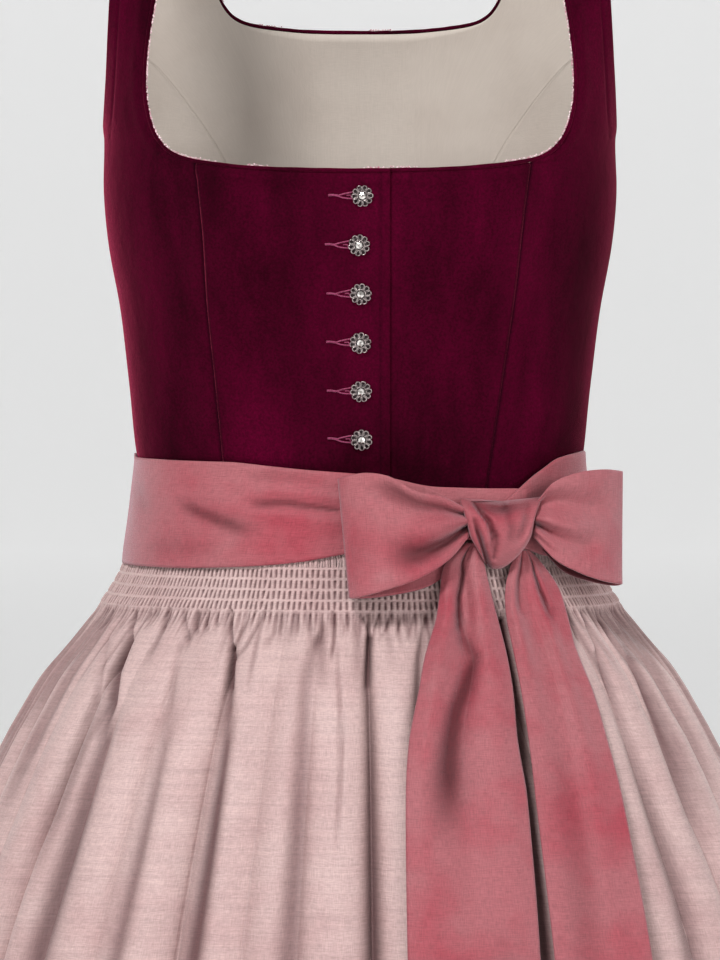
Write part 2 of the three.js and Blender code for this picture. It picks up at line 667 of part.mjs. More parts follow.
function bowPoint(across, height, out) {
  const section = sectionAt(ENVELOPE, height, false);
  let anchor = Math.min(across, BOW_TURN);
  let normal = ringNormal(section, angleAcross(section, anchor));
  for (let i = 0; i < 4; i += 1) {
    anchor = Math.min(across - normal.x * out, BOW_TURN);
    normal = ringNormal(section, angleAcross(section, anchor));
  }
  const base = ringPoint(section, angleAcross(section, anchor), height);
  const tangent = new THREE.Vector3(-normal.y, normal.x, 0);
  const onwards = (across - normal.x * out - base.x) / tangent.x;
  return base.addScaledVector(tangent, onwards).addScaledVector(normal, out);
}

const LOOP_COLUMNS = ["station", "topAcross", "topHeight", "bottomAcross", "bottomHeight", "out"];
const LOOPS = {
  right: table(LOOP_COLUMNS, [
    [0, 62, -27, 63, -43, 9.5], [1, 48, -19.6, 51, -56, 18], [2, 32, -15.8, 34, -66, 23],
    [3, 17, -7.5, 14, -72.8, 24], [4, 3, -5.5, 2, -76, 21], [5, -9, -8, -3.5, -77.6, 15],
    [6, -12.5, -9.5, -6, -77.8, 9], [7, -8, -10, -2, -78.3, 4], [8, 10, -9, 12, -77.5, 1.6],
    [9, 33, -13, 36, -73, 1.1], [10, 48, -19, 50, -65, 1], [11, 61, -28, 60, -52, 1],
  ]),
  left: table(LOOP_COLUMNS, [
    [0, 103.5, -23, 101.5, -44, 10], [1, 113, -12, 114, -57, 18], [2, 127, -6.5, 128, -64.5, 21],
    [3, 142, -5, 141, -69.5, 18], [4, 152, -6, 151, -72, 12], [5, 155, -7, 154, -72.5, 7],
    [6, 150, -8, 149, -73.5, 2.6], [7, 137, -8, 136, -71, 1.2], [8, 122, -10, 120, -65, 1], [9, 109, -20, 107, -52, 1],
  ]),
};

function addLoops() {
  for (const side of ["right", "left"]) {
    const grid = LOOPS[side].map((row) => spread(0, 1, 4).map((v) => bowPoint(
      THREE.MathUtils.lerp(row.topAcross, row.bottomAcross, v),
      THREE.MathUtils.lerp(row.topHeight, row.bottomHeight, v),
      row.out,
    )));
    addPiece(`bow_loop_${side}`, ribbon(grid, RIBBON_THICKNESS), tieCloth);
  }
}

const KNOT = table(["height", "start", "end", "out"], [
  [-60.5, 77, 83, 4], [-57, 72.5, 88, 9], [-51, 69, 94.5, 14], [-43, 66, 99, 17], [-33, 64.5, 102, 17],
  [-25, 65, 102, 13], [-20, 69, 99, 7],
]);
const KNOT_BACK = 0.4;

function addKnot() {
  const corners = 12;
  const rings = KNOT.toReversed().map(({ height, start, end, out }) => (
    Array.from({ length: corners }, (_, i) => {
      const angle = (2 * Math.PI * i) / corners;
      const across = (start + end) / 2 + ((end - start) / 2) * Math.cos(angle);
      return bowPoint(across, height, KNOT_BACK + (out * (1 - Math.sin(angle))) / 2);
    })
  ));
  addPiece("bow_knot", lump(rings), tieCloth);
}

// The tails hang from below the knot; wave is how far their lengthwise folds stand out
const TAIL_COLUMNS = ["height", "start", "end", "out", "wave"];
const TAILS = {
  right: table(TAIL_COLUMNS, [
    [-47, 62, 70, 2, 1], [-59, 49.5, 72, 2.5, 4], [-74, 46.5, 75.5, 2, 6], [-90, 44, 79.5, 1.5, 7],
    [-110, 37.5, 84.4, 1.5, 7], [-130, 33.5, 87.6, 1.5, 7], [-157, 28, 89.8, 1.5, 7], [-190, 26, 95, 1.5, 6],
    [-290, 27, 102, 1.5, 4], [-450, 30, 106, 1.5, 3], [-565, 33, 109, 1.5, 2],
  ]),
  left: table(TAIL_COLUMNS, [
    [-52, 92, 99, 2, 1], [-60, 88, 106.5, 2.5, 4], [-74, 84.6, 116, 2, 5], [-90, 85, 121, 1.5, 6],
    [-107, 88.3, 125, 1.5, 5], [-133, 93, 135, 1.5, 4], [-158, 96.5, 142, 1.5, 3], [-190, 100, 150, 1.5, 3],
    [-290, 111, 167, 1.5, 3], [-450, 125, 183, 1.5, 2.5], [-550, 132, 190, 1.5, 2],
  ]),
};
const TAIL_WAVES = { right: [0.5, 1, 0.55, 0, 0.6, 1, 0.5], left: [0.4, 0.9, 0.35, 0.2, 1, 0.5, 0.3] };

function addTails() {
  for (const side of ["right", "left"]) {
    const waves = TAIL_WAVES[side];
    const grid = TAILS[side].toReversed().map(({ height, start, end, out, wave }) => (
      waves.map((crest, i) => bowPoint(
        THREE.MathUtils.lerp(start, end, i / (waves.length - 1)),
        height,
        out + crest * wave,
      ))
    ));
    addPiece(`bow_tail_${side}`, ribbon(grid, RIBBON_THICKNESS), tieCloth);
  }
}

addFronts();
addSideFronts();
addSideBacks();
addBackCentre();
addBindings();
addButtons();
addSkirt();
addApron();
addWaistband();
addTies();
addLoops();
addKnot();
addTails();

export default garment;
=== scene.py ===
"""The looks of a dirndl: velvet bodice, gathered skirt, smocked apron and its wide ties in a bow.

Sizes are millimetres from the waist, as in the CAD, until a mesh is made in metres from the
shoulders. Angles are degrees round the body: 0 is the front's middle, +90 the wearer's left.
"""
import math

import bpy
import numpy as np
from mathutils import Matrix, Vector


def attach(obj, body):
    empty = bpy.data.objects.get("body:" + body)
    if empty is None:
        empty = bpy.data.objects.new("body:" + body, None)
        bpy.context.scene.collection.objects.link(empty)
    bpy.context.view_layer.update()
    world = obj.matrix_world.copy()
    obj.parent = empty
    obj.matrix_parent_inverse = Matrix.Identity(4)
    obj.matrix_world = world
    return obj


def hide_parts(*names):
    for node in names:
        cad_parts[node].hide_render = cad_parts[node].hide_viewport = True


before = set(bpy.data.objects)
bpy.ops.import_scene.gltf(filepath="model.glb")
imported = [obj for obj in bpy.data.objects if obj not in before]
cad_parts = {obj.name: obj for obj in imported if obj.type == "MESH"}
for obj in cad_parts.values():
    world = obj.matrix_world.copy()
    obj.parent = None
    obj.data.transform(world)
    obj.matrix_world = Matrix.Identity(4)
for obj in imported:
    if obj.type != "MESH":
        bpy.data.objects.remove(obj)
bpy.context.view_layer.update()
random = np.random.default_rng(11)

MILLIMETRE = 0.001
SHOULDER_HEIGHT = 372
CHEST_HEIGHT = 190
NECK_HEIGHT = 174
NECK_DIP = 6


def ring_faces(rings, count, closed=False):
    """Quads between rings of points; closed joins the last ring to the first"""
    faces = []
    for i in range(rings if closed else rings - 1):
        for j in range(count):
            here, above = i * count, (i + 1) % rings * count
            k = (j + 1) % count
            faces.append((here + j, here + k, above + k, above + j))
    return faces


# Camera, light and floor

CAMERA_DISTANCE = 3200
CAMERA_HEIGHT = 80
PICTURE_MIDDLE_HEIGHT = -13.2
LENS = 200


def metres(x, y, height):
    return Vector((x, y, height - SHOULDER_HEIGHT)) * MILLIMETRE


def add_camera():
    camera = bpy.data.objects.new("camera", bpy.data.cameras.new("camera"))
    bpy.context.collection.objects.link(camera)
    camera.data.lens = LENS
    camera.location = metres(0, -CAMERA_DISTANCE, CAMERA_HEIGHT)
    aim = metres(0, 0, PICTURE_MIDDLE_HEIGHT) - camera.location
    camera.rotation_euler = aim.to_track_quat("-Z", "Y").to_euler()
    bpy.context.scene.camera = camera


def add_light(name, place, size, power, aim=(0, 0, -0.4)):
    lamp = bpy.data.lights.new(name, "AREA")
    lamp.shape = "DISK"
    lamp.size = size
    lamp.energy = power
    light = bpy.data.objects.new(name, lamp)
    bpy.context.collection.objects.link(light)
    light.location = place
    light.rotation_euler = (Vector(aim) - Vector(place)).to_track_quat("-Z", "Y").to_euler()


FLOOR_HEIGHT = -1.068
STUDIO = {"radius": 15, "curve": 3, "rim": 14}
AMBIENT = 0.17
PAPER = {"shade": 0.85, "glow": 0.3, "roughness": 0.9}

# Lights: name, place, size, power
LIGHTS = [
    ("key", (-0.9, -2.0, 1.9), 0.7, 82),
    ("fill", (2.4, -2.2, 0.3), 1.6, 32),
    ("back", (0.6, 2.6, 1.6), 2, 24),
]


def add_studio():
    scene = bpy.context.scene
    scene.view_settings.view_transform = "Standard"
    scene.world = bpy.data.worlds.new("studio")
    scene.world.use_nodes = True
    background = scene.world.node_tree.nodes["Background"]
    background.inputs["Color"].default_value = (1, 1, 1, 1)
    background.inputs["Strength"].default_value = AMBIENT
    for name, place, size, power in LIGHTS:
        add_light(name, place, size, power)

    bend = np.radians(np.linspace(0, 90, 13))
    reach = STUDIO["radius"] + STUDIO["curve"] * np.sin(bend)
    level = FLOOR_HEIGHT + STUDIO["curve"] * (1 - np.cos(bend))
    profile = [(0.5, FLOOR_HEIGHT), *zip(reach, level), (reach[-1], STUDIO["rim"])]
    turns = np.radians(np.linspace(0, 360, 96, endpoint=False))
    points = [(r * math.cos(a), r * math.sin(a), z) for r, z in profile for a in turns]
    count = len(turns)
    faces = [tuple(reversed(face)) for face in ring_faces(len(profile), count)]
    mesh = bpy.data.meshes.new("studio_floor")
    mesh.from_pydata(points, [], [tuple(range(count))] + faces)
    mesh.shade_smooth()
    floor = bpy.data.objects.new("studio_floor", mesh)
    bpy.context.collection.objects.link(floor)
    paper = bpy.data.materials.new("paper")
    paper.use_nodes = True
    shader = paper.node_tree.nodes["Principled BSDF"]
    shader.inputs["Base Color"].default_value = (PAPER["shade"], PAPER["shade"], PAPER["shade"], 1)
    shader.inputs["Roughness"].default_value = PAPER["roughness"]
    shader.inputs["Specular IOR Level"].default_value = 0.1
    shader.inputs["Emission Color"].default_value = (1, 1, 1, 1)
    shader.inputs["Emission Strength"].default_value = PAPER["glow"]
    mesh.materials.append(paper)


# Materials

class Finish:
    """A procedural material: its shader, with short ways to add the nodes that vary it"""

    def __init__(self, name, **uniform):
        self.material = bpy.data.materials.new(name)
        self.material.use_nodes = True
        self.nodes = self.material.node_tree.nodes
        self.links = self.material.node_tree.links
        self.shader = self.nodes["Principled BSDF"]
        for socket, value in uniform.items():
            self.shader.inputs[socket.replace("_", " ")].default_value = value

    def add(self, kind, values=(), **properties):
        node = self.nodes.new(kind)
        for name, value in properties.items():
            setattr(node, name, value)
        for socket, value in dict(values).items():
            if isinstance(value, bpy.types.NodeSocket):
                self.links.new(value, node.inputs[socket])
            else:
                node.inputs[socket].default_value = value
        return node

    def weave_place(self, scale):
        """Places along the cloth's own width and length, in metres, each multiplied"""
        place = self.add("ShaderNodeAttribute", attribute_name="cloth")
        return self.add("ShaderNodeVectorMath", {0: place.outputs["Vector"], 1: scale},
                        operation="MULTIPLY").outputs["Vector"]

    def hollows(self):
        """Painted shade: how much of it a point gets, from 0 to 1, mostly from how deep it lies in a crease,
        between ribs or in a seam
        """
        place = self.add("ShaderNodeAttribute", attribute_name="cloth").outputs["Vector"]
        return self.add("ShaderNodeSeparateXYZ", {"Vector": place}).outputs["Z"]

    def object_place(self):
        return self.add("ShaderNodeTexCoord").outputs["Object"]

    def noise(self, place, scale, detail=2, roughness=0.5):
        node = self.add("ShaderNodeTexNoise", {
            "Vector": place, "Scale": scale, "Detail": detail, "Roughness": roughness,
        })
        return node.outputs["Fac"]

    def span(self, value, low, high, start=0.35, end=0.65):
        node = self.add("ShaderNodeMapRange", {
            "Value": value, "From Min": start, "From Max": end, "To Min": low, "To Max": high,
        })
        return node.outputs["Result"]

    def combine(self, operation, first, second):
        return self.add("ShaderNodeMath", {0: first, 1: second}, operation=operation).outputs["Value"]

    def mix(self, factor, first, second):
        node = self.add("ShaderNodeMix", data_type="RGBA")
        for index, value in ((0, factor), (6, first), (7, second)):
            if isinstance(value, bpy.types.NodeSocket):
                self.links.new(value, node.inputs[index])
            else:
                node.inputs[index].default_value = value
        return node.outputs[2]

    def brighten(self, colour, amount):
        grey = self.add("ShaderNodeCombineColor", {"Red": amount, "Green": amount, "Blue": amount})
        node = self.add("ShaderNodeMix", data_type="RGBA", blend_type="MULTIPLY")
        node.inputs[0].default_value = 1
        self.links.new(colour, node.inputs[6])
        self.links.new(grey.outputs["Color"], node.inputs[7])
        return node.outputs[2]

    def colour(self, value):
        self.links.new(value, self.shader.inputs["Base Color"])

    def roughness(self, value):
        self.links.new(value, self.shader.inputs["Roughness"])

    def bump(self, height, distance, strength=1):
        previous = self.shader.inputs["Normal"].links
        node = self.add("ShaderNodeBump", {"Height": height, "Distance": distance, "Strength": strength})
        if previous:
            self.links.new(previous[0].from_socket, node.inputs["Normal"])
        self.links.new(node.outputs["Normal"], self.shader.inputs["Normal"])


def linear(red, green, blue):
    """A colour of a screen, 0 to 255, as light"""
    def channel(value):
        share = value / 255
        return share / 12.92 if share <= 0.04045 else ((share + 0.055) / 1.055) ** 2.4
    return (channel(red), channel(green), channel(blue), 1)


def velvet_finish():
    finish = Finish("velvet", Roughness=0.9, Specular_IOR_Level=0.03, Sheen_Weight=0.48,
                    Sheen_Roughness=0.3, Sheen_Tint=linear(222, 74, 112))
    place = finish.object_place()
    tall = finish.add("ShaderNodeVectorMath", {0: place, 1: (1, 1, 0.35)}, operation="MULTIPLY")
    brushed = finish.span(finish.noise(tall.outputs["Vector"], 15, 5, 0.62), 0, 1, 0.34, 0.7)
    pile = finish.span(finish.noise(place, 700, 3, 0.65), 0.72, 1.28)
    cloth = finish.mix(brushed, linear(38, 0, 12), linear(74, 1, 30))
    # Painted shade, darkest along the seams and stitches
    cloth = finish.mix(finish.hollows(), cloth, linear(24, 0, 8))
    finish.colour(finish.brighten(cloth, pile))
    finish.bump(finish.noise(place, 1900, 2, 0.7), 0.0004, 0.5)
    finish.bump(finish.noise(place, 90, 3), 0.0012, 0.4)
    return finish.material


def woven_finish(name, low, high, thread, slub, bump, shades, hollow, **uniform):
    """Plain weave: threads both ways, thicker ones and patches, and painted shade in creases and
    hollows, in the colour given after shades. shades: how much lighter and darker the threads,
    and the thicker threads, make it."""
    finish = Finish(name, **uniform)
    warp = finish.noise(finish.weave_place((thread, thread * 0.1, 0)), 1, 2, 0.6)
    weft = finish.noise(finish.weave_place((thread * 0.1, thread, 0)), 1, 2, 0.6)
    thick = finish.noise(finish.weave_place((slub * 0.02, slub, 0)), 1, 3, 0.55)
    patches = finish.noise(finish.object_place(), 18, 3, 0.6)
    threads = finish.combine("ADD", finish.span(warp, -0.5, 0.5), finish.span(weft, -0.5, 0.5))
    weave = finish.combine("MULTIPLY", threads, shades[0])
    uneven = finish.span(thick, -shades[1], shades[1], 0.32, 0.68)
    cloth = finish.mix(finish.span(patches, 0, 1, 0.3, 0.58), low, high)
    # Painted shade, mixed in where the cloth attribute marks a crease or hollow
    cloth = finish.mix(finish.hollows(), cloth, hollow)
    amount = finish.combine("ADD", finish.combine("ADD", weave, uneven), 1.0)
    finish.colour(finish.brighten(cloth, amount))
    finish.bump(threads, 0.00012 * bump, 0.6)
    finish.bump(thick, 0.00035 * bump, 0.6)
    return finish.material


def make_materials():
    # In each woven cloth the colour given after the thread shades is the painted shade's colour, laid into
    # creases and hollows
    tie = woven_finish("tie_cloth", linear(148, 56, 68), linear(151, 84, 90), 1700, 420, 1,
                       (0.22, 0.04), linear(70, 8, 18), Roughness=0.5,
                       Specular_IOR_Level=0.25, Sheen_Weight=0.6,
                       Sheen_Roughness=0.45, Sheen_Tint=linear(186, 182, 188))
    apron = woven_finish("apron_cloth", linear(174, 143, 141), linear(185, 158, 155), 1500, 620, 0.8,
                         (0.2, 0.08), linear(78, 42, 45), Roughness=0.5,
                         Specular_IOR_Level=0.3, Sheen_Weight=0.2,
                         Sheen_Roughness=0.4, Sheen_Tint=linear(240, 232, 230))
    skirt = woven_finish("skirt_cloth", linear(76, 3, 30), linear(86, 6, 37), 1200, 500, 1,
                         (0.2, 0.04), linear(34, 0, 14), Roughness=0.7,
                         Specular_IOR_Level=0.25, Sheen_Weight=0.2,
                         Sheen_Roughness=0.45, Sheen_Tint=linear(226, 130, 160))
    lining = woven_finish("lining_cloth", linear(180, 168, 158), linear(187, 176, 166), 1500, 500, 0.3,
                          (0.05, 0.01), linear(104, 92, 84), Roughness=0.6,
                          Specular_IOR_Level=0.3, Sheen_Weight=0.15,
                          Sheen_Roughness=0.5, Sheen_Tint=linear(240, 236, 230))
    thread = Finish("rose_thread", Roughness=0.6, Specular_IOR_Level=0.3, Sheen_Weight=0.3,
                    Sheen_Roughness=0.4, Sheen_Tint=linear(240, 190, 210))
    twist = thread.noise(thread.object_place(), 1400, 2)
    thread.colour(thread.mix(thread.span(twist, 0, 1), linear(104, 24, 58), linear(150, 62, 98)))
    picot = Finish("picot_thread", Roughness=0.45, Specular_IOR_Level=0.6, Sheen_Weight=0.3,
                   Sheen_Roughness=0.4, Sheen_Tint=linear(250, 230, 235))
    glint = picot.noise(picot.object_place(), 700, 2)
    picot.colour(picot.mix(picot.span(glint, 0, 1), linear(180, 112, 128), linear(242, 222, 222)))
    silver = Finish("silver", Metallic=1.0)
    tarnish = silver.noise(silver.object_place(), 900, 3, 0.6)
    silver.colour(silver.mix(silver.span(tarnish, 0, 1), linear(92, 82, 82), linear(196, 184, 182)))
    silver.roughness(silver.span(tarnish, 0.42, 0.24))
    recess = Finish("blackened_silver", Metallic=0.8)
    soot = recess.noise(recess.object_place(), 1100, 3, 0.6)
    recess.colour(recess.mix(recess.span(soot, 0, 1), linear(26, 20, 22), linear(66, 58, 58)))
    recess.roughness(recess.span(soot, 0.7, 0.45))
    stone = Finish("clear_stone", Metallic=0.85, Roughness=0.06)
    depth = stone.noise(stone.object_place(), 500, 1)
    stone.colour(stone.mix(stone.span(depth, 0, 1), linear(150, 146, 142), linear(248, 244, 240)))
    return {
        "velvet": velvet_finish(), "tie_cloth": tie, "apron_cloth": apron,
        "skirt_cloth": skirt, "lining": lining, "thread": thread.material,
        "picot": picot.material, "silver": silver.material, "recess": recess.material,
        "stone": stone.material,
    }


add_camera()
add_studio()
materials = make_materials()


# Tables and curves

def table(columns, rows):
    """Named columns; the first one rises"""
    values = np.array(sorted(rows), float)
    return {name: values[:, i] for i, name in enumerate(columns)}


def along(rows, column, at, smooth=True):
    """One column of a table at any keys, on a smooth curve or on straight lines"""
    key = next(iter(rows.values()))
    value = rows[column]
    at = np.clip(np.asarray(at, float), key[0], key[-1])
    i = np.clip(np.searchsorted(key, at) - 1, 0, len(key) - 2)
    span = key[i + 1] - key[i]
    u = (at - key[i]) / span
    if not smooth:
        return value[i] + (value[i + 1] - value[i]) * u
    before = np.maximum(np.arange(len(key)) - 1, 0)
    after = np.minimum(np.arange(len(key)) + 1, len(key) - 1)
    slope = (value[after] - value[before]) / (key[after] - key[before])
    u2, u3 = u * u, u * u * u
    return ((2 * u3 - 3 * u2 + 1) * value[i] + (u3 - 2 * u2 + u) * span * slope[i]
            + (3 * u2 - 2 * u3) * value[i + 1] + (u3 - u2) * span * slope[i + 1])


def section_at(rows, height):
    return {name: along(rows, name, height) for name in list(rows)[1:]}


def smoothstep(value, start, end):
    u = np.clip((value - start) / (end - start), 0, 1)
    return u * u * (3 - 2 * u)


RING = ["height", "side", "front", "back", "square"]
BODICE = table(RING, [
    [-18, 129, 95, 86, 2.25], [-6, 130.8, 97, 88, 2.25], [4, 133.8, 99.5, 90, 2.25],
    [45, 138.3, 108, 94, 2.25], [90, 144, 116, 100, 2.25], [130, 150.8, 122, 106, 2.25],
    [160, 153.6, 125, 110, 2.25],
    [190, 153, 128, 113, 2.25], [200, 154.3, 128, 114, 2.25], [240, 158, 128, 116, 2.25],
    [300, 175, 128, 116, 2.25], [372, 190, 128, 116, 2.25],
])
SASH = table(RING, [
    [-70, 143.3, 110.9, 101, 2.25], [-63, 142.5, 110.2, 100, 2.25], [-34, 138.6, 106.6, 96.5, 2.25],
    [-5, 135.2, 102.4, 92.8, 2.25], [12, 134.8, 101.6, 92.2, 2.25],
])
SKIRT = table([*RING, "fold"], [
    [-18.3, 129, 95, 86, 2.25, 0], [-62, 138.4, 106.2, 98, 2.15, 0.5], [-90, 154.5, 117, 111, 2.08, 1.5],
    [-130, 184, 148, 156, 2, 4.5], [-190, 216, 175, 188, 2, 7], [-290, 258, 212, 228, 2, 8.5],
    [-450, 304, 254, 271, 2, 10], [-690, 349, 299, 314, 2, 12],
])
ENVELOPE = table(RING, [
    [10, 135.4, 102.2, 92.7, 2.25], [-5, 135.7, 102.9, 93.3, 2.25], [-62, 142.7, 110.5, 100.5, 2.2],
    [-90, 160.5, 123.5, 118, 2.08], [-130, 192, 156, 164, 2], [-190, 226.5, 185.5, 198, 2],
    [-290, 270, 224, 240, 2], [-450, 317.5, 267.5, 285, 2], [-690, 364.5, 314.5, 330, 2],
])


def ring(section, angle):
    """A level oval: x and y at angles in degrees"""
    turn = np.radians(angle)
    power = 2 / section["square"]
    sine, cosine = np.sin(turn), np.cos(turn)
    depth = np.where(cosine > 0, section["front"], section["back"])
    return (section["side"] * np.sign(sine) * np.abs(sine) ** power,
            -depth * np.sign(cosine) * np.abs(cosine) ** power)


def ring_normal(section, angle):
    """The level direction straight out of a ring"""
    x1, y1 = ring(section, angle - 0.12)
    x2, y2 = ring(section, angle + 0.12)
    length = np.hypot(x2 - x1, y2 - y1)
    return (y2 - y1) / length, -(x2 - x1) / length


def angle_across(section, across, facing="front"):
    """The angle at which a ring has a given distance from the middle plane"""
    reach = np.minimum(np.abs(across) / section["side"], 1)
    turn = np.sign(across) * np.degrees(np.arcsin(reach ** (section["square"] / 2)))
    return turn if facing == "front" else 180 - turn


def stack(x, y, height):
    return np.stack(np.broadcast_arrays(x, y, height), axis=-1).astype(float)


def lift(surface, angle, height, offset):
    """Points of a surface moved out along its own normal"""
    along_row = surface(angle + 0.25, height) - surface(angle - 0.25, height)
    upwards = surface(angle, np.minimum(height + 0.5, SHOULDER_HEIGHT)) - surface(angle, height - 0.5)
    normal = np.cross(along_row, upwards)
    normal /= np.linalg.norm(normal, axis=-1, keepdims=True)
    return surface(angle, height) + normal * np.asarray(offset)[..., None]


# Soft creases

def crease(across, height, path, width, depth, ends=(0, 0), lean=0):
    """How far a soft trough along a path presses a surface in; a negative depth is a ridge.
    width and ends (its strength at its two ends) each run from its start to its end. With a
    lean the trough is wide on its right and steep on its left, as where cloth folds over."""
    path = np.array(path, float)
    lengths = np.hypot(*(path[1:] - path[:-1]).T)
    starts = np.concatenate([[0], np.cumsum(lengths)])
    nearest = np.full(np.shape(across), 1e9)
    progress = np.zeros(np.shape(across))
    right = np.zeros(np.shape(across))
    for i, (start, end) in enumerate(zip(path[:-1], path[1:])):
        step = end - start
        u = ((across - start[0]) * step[0] + (height - start[1]) * step[1]) / (step @ step)
        u = np.clip(u, 0, 1)
        distance = np.hypot(across - start[0] - u * step[0], height - start[1] - u * step[1])
        closer = distance < nearest
        nearest = np.where(closer, distance, nearest)
        progress = np.where(closer, (starts[i] + u * lengths[i]) / starts[-1], progress)
        turned_right = step[0] * (height - start[1]) - step[1] * (across - start[0]) > 0
        right = np.where(closer, np.where(turned_right, 1, -1), right)
    spread = (width[0] + (width[1] - width[0]) * progress) * (1 + lean * right)
    strength = np.minimum(ends[0] + (1 - ends[0]) * smoothstep(progress, 0, 0.35),
                          ends[1] + (1 - ends[1]) * smoothstep(1 - progress, 0, 0.35))
    return depth * strength * np.exp(-(nearest / spread) ** 2)


def creases(across, height, rows):
    return sum(crease(across, height, *row) for row in rows)


# Meshes

def oriented(points, faces):
    """Faces turned outwards, by the sign of the volume that they close in"""
    volume = 0
    for face in faces:
        first = points[face[0]]
        for b, c in zip(face[1:-1], face[2:]):
            volume += first @ np.cross(points[b], points[c]) if len(face) > 4 else 0
    quads = np.array([face for face in faces if len(face) == 4])
    if len(quads):
        a, b, c, d = (points[quads[:, k]] for k in range(4))
        volume += np.einsum("ij,ij->i", a, np.cross(b, c)).sum()
        volume += np.einsum("ij,ij->i", a, np.cross(c, d)).sum()
    return faces if volume > 0 else [tuple(reversed(face)) for face in faces]


def make_object(name, points, faces, cloth=None, finishes=("velvet",), slots=None, hollow=None):
    """A mesh object in metres; cloth is each point's place on the flat cloth, in millimetres,
    and the last argument how much painted shade each point gets, from 0 to 1, most deep in a crease"""
    placed = (np.asarray(points) - (0, 0, SHOULDER_HEIGHT)) * MILLIMETRE
    mesh = bpy.data.meshes.new(name)
    mesh.from_pydata(placed.tolist(), [], faces)
    mesh.shade_smooth()
    for finish in finishes:
        mesh.materials.append(materials[finish])
    if slots is not None:
        mesh.polygons.foreach_set("material_index", slots)
    if cloth is not None:
        values = np.zeros((len(placed), 3))
        values[:, :2] = np.asarray(cloth) * MILLIMETRE
        # The attribute's third value is the painted shade that the finishes mix in
        if hollow is not None:
            values[:, 2] = np.clip(hollow, 0, 1)
        attribute = mesh.attributes.new("cloth", "FLOAT_VECTOR", "POINT")
        attribute.data.foreach_set("vector", values.ravel())
    piece = bpy.data.objects.new(name, mesh)
    bpy.context.collection.objects.link(piece)
    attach(piece, "root")
    return piece


def cloth_places(grid):
    """Places on the flat cloth from lengths along the middle row and column of a grid"""
    rows, columns = grid.shape[:2]
    width = np.linalg.norm(np.diff(grid, axis=1), axis=2)
    length = np.linalg.norm(np.diff(grid, axis=0), axis=2)
    across = np.concatenate([np.zeros((rows, 1)), np.cumsum(width, axis=1)], axis=1)
    across -= across[:, columns // 2:columns // 2 + 1]
    down = np.concatenate([np.zeros((1, columns)), np.cumsum(length, axis=0)], axis=0)
    down -= down[rows // 2:rows // 2 + 1, :]
    return np.stack([across, down], axis=-1)


def shell(name, outer, inner, cloth=None, finishes=("velvet",), stride=(1, 1), hollow=None):
    """A closed wall of cloth between two grids. The inner grid may be coarser, with a point at
    every stride rows and columns of the outer one. A second finish is for the inner side."""
    cloth = cloth_places(outer) if cloth is None else cloth
    down, right = stride
    rows, columns = outer.shape[:2]
    inner_rows, inner_columns = inner.shape[:2]
    out_id = np.arange(rows * columns).reshape(rows, columns)
    in_id = rows * columns + np.arange(inner_rows * inner_columns).reshape(inner_rows, inner_columns)

    def sheet_faces(ids, flipped):
        corners = [ids[:-1, :-1], ids[:-1, 1:], ids[1:, 1:], ids[1:, :-1]]
        if flipped:
            corners.reverse()
        return [tuple(face) for face in np.stack([c.ravel() for c in corners], axis=1).tolist()]

    faces = sheet_faces(out_id, False) + sheet_faces(in_id, True)
    outer_count = (rows - 1) * (columns - 1)
    edges = [
        (out_id[0, ::-1], in_id[0, ::-1], right),
        (out_id[-1], in_id[-1], right),
        (out_id[:, 0], in_id[:, 0], down),
        (out_id[::-1, -1], in_id[::-1, -1], down),
    ]
    for fine, coarse, step in edges:
        for k in range(len(coarse) - 1):
            run = fine[k * step:(k + 1) * step + 1].tolist()
            faces.append(tuple(run + [int(coarse[k + 1]), int(coarse[k])]))
    points = np.concatenate([outer.reshape(-1, 3), inner.reshape(-1, 3)])
    places = np.concatenate([cloth.reshape(-1, 2), cloth[::down, ::right].reshape(-1, 2)])
    if hollow is not None:
        hollow = np.concatenate([hollow.ravel(), np.zeros(inner_rows * inner_columns)])
    faces = oriented(points, faces)
    slots = np.zeros(len(faces), int)
    if len(finishes) > 1:
        slots[outer_count:outer_count + (inner_rows - 1) * (inner_columns - 1)] = 1
    return make_object(name, points, faces, places, finishes, slots, hollow)


def cloth_piece(node, kind, outer, inner, finish, **options):
    """A wall of cloth in place of a solid, named after it"""
    piece = shell(f"{node}_{kind}", outer, inner, finishes=(finish,), **options)
    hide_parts(node)
    return piece


def wall(surface, angle, height, relief, thickness):
    """The outside and the inside of cloth on a surface"""
    return lift(surface, angle, height, relief), lift(surface, angle, height, relief - thickness)


def both_sides(grid, thickness):
    """The two sides of a strip, half its thickness out from the middle each"""
    along_rows = np.gradient(grid, axis=1)
    down_rows = np.gradient(grid, axis=0)
    normal = np.cross(along_rows, down_rows)
    normal /= np.maximum(np.linalg.norm(normal, axis=-1, keepdims=True), 1e-9)
    return grid - normal * thickness / 2, grid + normal * thickness / 2


def tube_grid(path, radius, sides=10, normal=None):
    """Rings of points round a path; radius may vary along it"""
    path = np.asarray(path, float)
    direction = np.gradient(path, axis=0)
    direction /= np.linalg.norm(direction, axis=1, keepdims=True)
    upward = np.tile([0.0, -1.0, 0.0], (len(path), 1)) if normal is None else normal
    first = np.cross(direction, upward)
    first /= np.linalg.norm(first, axis=1, keepdims=True)
    second = np.cross(direction, first)
    turns = np.linspace(0, 2 * np.pi, sides + 1)
    radius = np.broadcast_to(radius, len(path))[:, None, None]
    return path[:, None] + radius * (first[:, None] * np.cos(turns)[None, :, None]
                                     + second[:, None] * np.sin(turns)[None, :, None])


def capped_faces(rings, count):
    """Faces of rings of points with a flat end at both ends"""
    last = (rings - 1) * count
    ends = [tuple(reversed(range(count))), tuple(range(last, last + count))]
    return ring_faces(rings, count) + ends


def closed_tube(path, radius, sides=8, normal=None):
    """Points and faces of a solid tube with closed ends"""
    grid = tube_grid(path, radius, sides, normal)[:, :-1]
    return grid.reshape(-1, 3), capped_faces(len(grid), sides)


